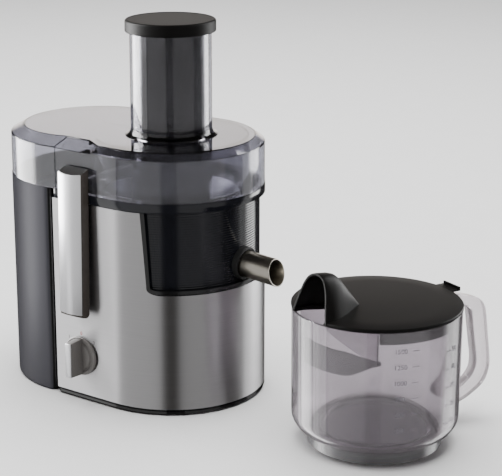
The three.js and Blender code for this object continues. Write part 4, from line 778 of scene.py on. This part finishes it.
def make_dial_marks():
    marks = []
    for word, turn, surface in (("1", 45, INK), ("0", 0, RED_INK), ("2", -45, INK)):
        mark = lettering(word, 5.2)
        angle = math.radians(turn)
        y = SIDE_Y + DIAL_MARKS_R * math.sin(angle)
        z = DIAL_Z + DIAL_MARKS_R * math.cos(angle)
        face = Matrix(((0, 0, -1), (-1, 0, 0), (0, 1, 0))).to_4x4()
        mark.data.transform(Matrix.Translation(Vector((-92.1, y, z)) * MM) @ face)
        coat(mark, surface)
        marks.append(mark)
    whole = join(*marks)
    finish(whole, "dial_numbers", "base", [])


# ---------------------------------------------------------------- spout
def along_spout(obj):
    """Lays what was drawn up the z axis out along the sloping spout."""
    rise = (BODY_R - 6) * math.tan(SPOUT_SLOPE)
    tilt = Matrix.Rotation(math.pi / 2 + SPOUT_SLOPE, 4, "X")
    obj.data.transform(Matrix.Translation((0, 0, (SPOUT_Z + rise) * MM)) @ tilt)


def make_spout():
    tube = spun([(12.0, 81), (13.0, 81), (13.0, 140), (12.0, 140)], FINE)
    along_spout(tube)
    edit(tube)
    bpy.ops.mesh.select_all(action="SELECT")
    lean = math.radians(12)
    mouth = Vector((0, -126.5, SPOUT_Z - 40.5 * math.tan(SPOUT_SLOPE))) * MM
    bpy.ops.mesh.bisect(plane_co=mouth, plane_no=(0, -math.cos(lean), math.sin(lean)),
                        use_fill=False, clear_outer=True)
    pick(tube, lambda at, edge: edge.is_boundary, "EDGE")
    bpy.ops.mesh.bridge_edge_loops()
    tidy()
    done()
    round_edges(tube, 0.3, 2, 50)
    coat(tube, POLISHED)
    finish(tube, "juice_spout", "base", ["spout"])
    ring = spun([(13.3, 84), (16.3, 84), (16.3, 90.6), (15.6, 91.4), (14.0, 91.4), (13.3, 90.6)],
                FINE)
    along_spout(ring)
    coat(ring, RUBBER)
    finish(ring, "spout_ring", "base", ["spout_seal"])


# ---------------------------------------------------------------- basket
def make_basket():
    cone = spun([(45.8, 144.4), (46.5, 144.4), (66.5, 204), (65.8, 204)])
    coat(cone, SCREEN)
    finish(cone, "strainer_cone", "drive", ["filter_screen"])
    floor = spun([(9.4, 127), (11.4, 127), (11.4, 141), (15.3, 141), (15.3, 129), (17.3, 129),
                  (17.3, 141), (49.2, 141), (49.7, 144), (9.4, 144)])
    rim = spun([(67.2, 204), (70.6, 204), (71.6, 208.0), (71.0, 208.5), (68.7, 208.5)])
    ribs = []
    for i in range(6):
        rib = prism([(46.9, 143.8), (49.6, 143.8), (69.6, 204.5), (67.2, 204.5)], -2, 2)
        upright(rib)
        rib.data.transform(Matrix.Rotation(math.radians(15 + 60 * i), 4, "Z"))
        ribs.append(rib)
    cage = join(floor, rim, *ribs)
    coat(cage, SMOKE)
    finish(cage, "strainer_cage", "drive", ["basket_frame"])


# ---------------------------------------------------------------- jug
def make_jug():
    foot = [(62.6, 10), (65.6, 11.8), (70.3, 15), (74.6, 19.6), (76.9, 24.2), (77.6, 29)]
    outer = [(62.4, 0.6), *smooth_line(foot, 4), (JUG_R - 0.3, 131), (JUG_R - 0.9, JUG_TOP)]
    hollow = [(75.1, 30), (74.3, 25.6), (72.2, 21.4), (68.2, 17.2), (63.6, 13.6), (60, 11.6)]
    inner = [(JUG_R - 2.2, JUG_TOP), (JUG_R - 2.5, 130.8), *smooth_line(hollow, 4),
             (59.2, JUG_FLOOR), (53.2, JUG_FLOOR), (52.6, 12.4), (51.6, RING_TOP),
             (50.2, RING_TOP), (49.2, 12.4), (RING_INSIDE, JUG_FLOOR), (0, JUG_FLOOR)]
    body = spun([(0, 6), (59.9, 6), (59.9, 0.6), (60.5, 0), (61.8, 0), *outer, *inner],
                closed=False)
    grip = smooth_line(HANDLE_OUTSIDE) + smooth_line(HANDLE_INSIDE)
    bar = prism([(JUG_R + out, z) for out, z in grip], -6, 6)
    round_edges(bar, 1.6, 4, 50)
    upright(bar)
    core = spun([(0, 11), (64, 11), (71, 16.6), (75.4, 24), (JUG_R - 1.6, 32),
                 (JUG_R - 1.2, 140), (0, 140)], closed=False)
    bar.data.transform(Matrix.Rotation(math.pi, 4, "Z"))
    combine(bar, core, "DIFFERENCE")
    coat(bar, MILKY)
    coat(body, STYRENE, SHADED_FOOT_STYRENE, LIT_FLOOR_STYRENE)
    # The floor inside the ring takes the lighter styrene: painted light.
    recoat(body, 2, lambda at, n: 9.7 < at.z < 9.9 and at.xy.length < RING_INSIDE)
    # The foot ring takes the darker styrene: painted shade under the jug.
    recoat(body, 1, lambda at, n: at.z < 9.7 and at.xy.length > 59.5)
    join(body, bar)
    finish(body, "jug_bowl", "jug", ["jug_body"], AT_JUG)


def hood_section(x, width, height):
    """An arch over the pouring side: straight flanks that close in a round top."""
    sweep = [i / 14 for i in range(15)]
    half = [(27 * (1 - t) ** 3 + 60 * t * (1 - t) ** 2 + 60 * t * t * (1 - t),
             48 * t * (1 - t) ** 2 + 118.5 * t * t * (1 - t) + 39.5 * t ** 3) for t in sweep]
    arch = half + [(-y, z) for y, z in reversed(half[:-1])]
    return [(x, y * width, HOOD_LOW + z * height) for y, z in arch]


def make_jug_lid():
    plate = spun([(0, 131.8), (78.6, 131.8), (78.9, 132.2), (78.9, 133.9), (78.3, 134.6),
                  (76.5, 135.0), (60, 135.5), (40, 136.0), (20, 136.3), (0, 136.4)], closed=False)
    skirt = spun([(73.6, 119.8), (75.4, 119.8), (75.4, 132.2), (73.6, 132.2)])
    combine(skirt, block(41.7, 90, -90, 90, 100, 131.6), "DIFFERENCE")
    throat = prism([(38, -9), (66, -22), (90, -25), (90, 25), (66, 22), (38, 9)], 118, 140)
    combine(plate, skirt, "UNION")
    combine(plate, throat, "DIFFERENCE")
    stations = [(84, 1.0, 1.0), (64, 1.0, 1.0), (56, 0.88, 0.985), (50, 0.76, 0.94),
                (45, 0.66, 0.84), (36, 0.44, 0.56), (27, 0.22, 0.28), (19, 0.03, 0.04)]
    trace(hood_section(*stations[0]), closed=False)
    hood = bpy.context.object
    for (x0, w0, h0), (x1, w1, h1) in zip(stations, stations[1:]):
        step = {"value": ((x1 - x0) * MM, 0, 0)}
        bpy.ops.mesh.extrude_region_move(TRANSFORM_OT_translate=step)
        bpy.ops.transform.resize(value=(1, w1 / w0, h1 / h0),
                                 center_override=(x1 * MM, 0, HOOD_LOW * MM))
    bpy.ops.mesh.select_all(action="SELECT")
    lean = math.radians(12)
    bpy.ops.mesh.bisect(plane_co=Vector((75.5, 0, 132)) * MM,
                        plane_no=(math.cos(lean), 0, math.sin(lean)), clear_outer=True)
    tidy()
    pick(hood, lambda at, n: n.z < -0.01 or (abs(n.z) < 0.3 and n.y * at.y < 0))
    bpy.ops.mesh.flip_normals()
    done()
    thicken(hood, 2.0)
    round_edges(hood, 0.5, 2, 60)
    tab = block(-87.6, -72, -12, 12, 133.1, 134.9)
    lip = block(-87.6, -85.8, -12, 12, 133.1, 137.2)
    round_edges(join(tab, lip), 0.6, 2, 40)
    whole = join(plate, hood, tab)
    coat(whole, SATIN)
    finish(whole, "jug_cover", "jug_lid", ["jug_lid"], AT_JUG)


def make_separator():
    reach = 73.4
    wall = block(42, 43.8, -60.2, 60.2, 99.2, 131.2)
    share = [(0, 87.2, 109.7), (30, 87.2, 109.2), (36, 88.3, 108), (43, 92.7, 105.7),
             (50, 97.3, 103.6), (55, 98.7, 102.7)]
    half = [(reach * math.sin(math.radians(t)), low) for t, low, high in share]
    half += [(reach * math.sin(math.radians(t)), high) for t, low, high in reversed(share)]
    leaf = prism(half + [(-y, z) for y, z in reversed(half[1:-1])], 0, 90)
    quarter = math.pi / 2
    leaf.data.transform(Matrix.Rotation(quarter, 4, "Z") @ Matrix.Rotation(quarter, 4, "X"))
    band = spun([(reach - 1.8, 80), (reach, 80), (reach, 118), (reach - 1.8, 118)])
    combine(band, leaf, "INTERSECT")
    whole = join(wall, band)
    coat(whole, THIN_SMOKE, STYRENE)
    recoat(whole, 1, lambda at, n: at.z > 99 and 41.9 < at.x < 43.9)
    finish(whole, "foam_wall", "jug_lid", ["froth_separator"], AT_JUG)


def wrap_on(obj, radius, turn, height):
    """Lays flat lettering on the jug's wall, at a turn in degrees from its hood."""
    start = math.radians(turn)
    for corner in obj.data.vertices:
        across, up, out = corner.co
        angle = start + across / (radius * MM)
        reach = radius * MM + out
        corner.co = (reach * math.cos(angle), reach * math.sin(angle), height * MM + up)
    return obj


def make_jug_marks():
    marks = []
    for words, low, step, number_at, dash_at in (
            (("250", "500", "750", "1000", "1250", "1500"), 39.4, 14.9, 69.6, 80),
            (("10", "20", "30", "40", "50"), 35.2, 17.4, 116, 109)):
        for i, word in enumerate(words):
            height = low + i * step
            marks.append(wrap_on(lettering(word, 6.2), JUG_R + 0.05, number_at, height))
            dash = block(-3.4, 3.4, -0.25, 0.25, -0.06, 0.06)
            marks.append(wrap_on(dash, JUG_R + 0.05, dash_at, height))
    whole = join(*marks)
    coat(whole, PALE_INK)
    finish(whole, "jug_scale", "jug", [], AT_JUG)


for make in (make_wrap, make_bezel, make_collector, make_lid, make_pusher, make_bin, make_arms,
             make_dial, make_dial_marks, make_spout, make_basket, make_jug, make_jug_lid,
             make_separator, make_jug_marks):
    make()

# ---------------------------------------------------------------- studio
deselect()
bpy.ops.mesh.primitive_plane_add(size=30, location=(0, 0, 0))
floor = bpy.context.object
floor.name = "studio_floor"
PAPER, tree, shader = material("matt white paper", "f4f4f4", 0.9)
grain(tree, shader, 40, 0, rough=(0.85, 0.95), tones=("f2f2f2", "f6f6f6"))
coat(floor, PAPER)

CAMERA_BEARING = 218.6  # degrees from +X, level, from the drive axis to the camera
AWAY = (0.78, 0.62, 0)  # the opposite way: where the room glows low behind the set

# A dim room. Mirror-like surfaces look past the floor into it, as on a product table.
floor.visible_glossy = False
floor.visible_shadow = False
world = bpy.data.worlds.new("studio")
bpy.context.scene.world = world
world.use_nodes = True
sky = world.node_tree
toward = node(sky, "TexCoord").outputs["Generated"]
height = node(sky, "SeparateXYZ", {"Vector": toward}).outputs["Z"]
low = node(sky, "MapRange", {"Value": height, "From Min": 0.23, "From Max": 0.31, "To Min": 1.0,
                             "To Max": 0.0}, interpolation_type="SMOOTHSTEP").outputs["Result"]
back = node(sky, "VectorMath", {0: toward, 1: AWAY}, operation="DOT_PRODUCT").outputs["Value"]
behind = node(sky, "MapRange", {"Value": back, "From Min": 0.92, "From Max": 0.98},
              interpolation_type="SMOOTHSTEP").outputs["Result"]
both = node(sky, "Math", {0: low, 1: behind}, operation="MULTIPLY").outputs["Value"]
glow = node(sky, "MapRange", {"Value": both, "To Min": 0.05, "To Max": 2.1}).outputs["Result"]
sky.links.new(glow, sky.nodes["Background"].inputs["Strength"])
sky.nodes["Background"].inputs["Color"].default_value = colour("fdf6f0")


def chosen(name, *pieces, link="INCLUDE"):
    """The pieces a light falls on, or, with EXCLUDE, the ones it is shaded from."""
    group = bpy.data.collections.new(name)
    for piece in pieces:
        group.objects.link(bpy.data.objects[piece])
    for entry in group.collection_objects:
        entry.light_linking.link_state = link
    return group


no_floor = chosen("all_but_floor", "studio_floor", link="EXCLUDE")


def soft_light(name, turn, distance, low, high, width, strength, centre=AXIS, lit=no_floor,
               fade=0.12):
    """A soft box that stands upright round a centre; turn is measured from the camera.

    It fades out over a share of its width at each side, as a real soft box does."""
    lamp = bpy.data.lights.new(name, "AREA")
    lamp.use_nodes = True
    tree = lamp.node_tree
    spot = node(tree, "NewGeometry").outputs["Parametric"]
    across = node(tree, "SeparateXYZ", {"Vector": spot}).outputs["X"]
    offset = node(tree, "Math", {0: across, 1: 0.5}, operation="SUBTRACT").outputs["Value"]
    aside = node(tree, "Math", {0: offset}, operation="ABSOLUTE").outputs["Value"]
    level = node(tree, "MapRange", {"Value": aside, "From Min": 0.5 - fade, "From Max": 0.5,
                                    "To Min": 1.0, "To Max": 0.0},
                 interpolation_type="SMOOTHSTEP").outputs["Result"]
    tree.links.new(level, tree.nodes["Emission"].inputs["Strength"])
    lamp.shape = "RECTANGLE"
    lamp.size = width
    lamp.size_y = high - low
    lamp.energy = strength * width * (high - low) * math.pi
    holder = bpy.data.objects.new(name, lamp)
    angle = math.radians(CAMERA_BEARING + turn)
    out = Vector((math.cos(angle), math.sin(angle), 0))
    holder.location = centre + out * distance + Vector((0, 0, (low + high) / 2))
    holder.rotation_euler = out.to_track_quat("Z", "Y").to_euler()
    holder.light_linking.receiver_collection = lit
    bpy.context.scene.collection.objects.link(holder)
    return holder


soft_light("left_strip", -112, 1.2, -0.1, 1.5, 1.1, 19, fade=0.25,
           lit=chosen("not_bin", "studio_floor", "bin_shell", link="EXCLUDE"))
soft_light("left_strip_dim", -101, 1.2, -0.3, 1.2, 0.45, 9, lit=chosen("only_bin", "bin_shell"))
soft_light("left_low", -112, 1.2, -1.2, -0.1, 0.95, 0.5)
soft_light("left_side", -80, 1.9, -1.2, 1.5, 0.7, 1.9)
soft_light("left_fill", -41, 2.0, -1.2, 1.8, 2.3, 0.75)
soft_light("right_fill", 36, 2.0, -1.2, 1.8, 2.6, 0.52)
soft_light("right_side", 105, 1.9, -1.2, 1.5, 0.8, 1.1)
soft_light("right_strip", 118, 1.2, -0.06, 1.5, 0.65, 9, fade=0.3)
# Cards beside the jug give it its own pair of bright edges, as when glass is lit alone.
only_jug = chosen("only_jug", "jug_bowl")
jug_axis = AT_JUG.to_translation()
for name, turn, distance, width, strength in (("jug_left_card", -88, 0.13, 0.06, 8),
                                              ("jug_left_wide", -88, 0.13, 0.11, 4.5),
                                              ("jug_right_card", 90, 0.15, 0.12, 3)):
    card = soft_light(name, turn, distance, -0.16, 0.17, width, strength, jug_axis, only_jug, 0.3)
    card.visible_camera = False
    card.visible_transmission = False
lamp = bpy.data.lights.new("overhead", "AREA")
lamp.size = 3.2
lamp.energy = 225
holder = bpy.data.objects.new("overhead", lamp)
holder.location = (0.3, 0.5, 2.6)
holder.visible_glossy = False
holder.visible_transmission = False
bpy.context.scene.collection.objects.link(holder)

# ---------------------------------------------------------------- camera
CAMERA_AT = AXIS + Vector((-1251.9, -1000.1, 625.5)) * MM
YAW, PITCH, ROLL = math.radians(-52.40), math.radians(16.11), math.radians(-0.36)
ahead = Vector((-math.sin(YAW) * math.cos(PITCH), math.cos(YAW) * math.cos(PITCH),
                -math.sin(PITCH)))
level = Vector((math.cos(YAW), math.sin(YAW), 0))
upward = level.cross(ahead)
right = level * math.cos(ROLL) + upward * math.sin(ROLL)
up = upward * math.cos(ROLL) - level * math.sin(ROLL)
lens = bpy.data.cameras.new("studio_camera")
lens.lens = 120.15
lens.sensor_width = 36
lens.shift_x = 0.099
lens.shift_y = -0.0191
lens.clip_end = 50
camera = bpy.data.objects.new("studio_camera", lens)
aim = Matrix((right, up, -ahead)).transposed().to_4x4()
camera.matrix_world = Matrix.Translation(CAMERA_AT) @ aim
bpy.context.scene.collection.objects.link(camera)
bpy.context.scene.camera = camera

bpy.context.view_layer.update()
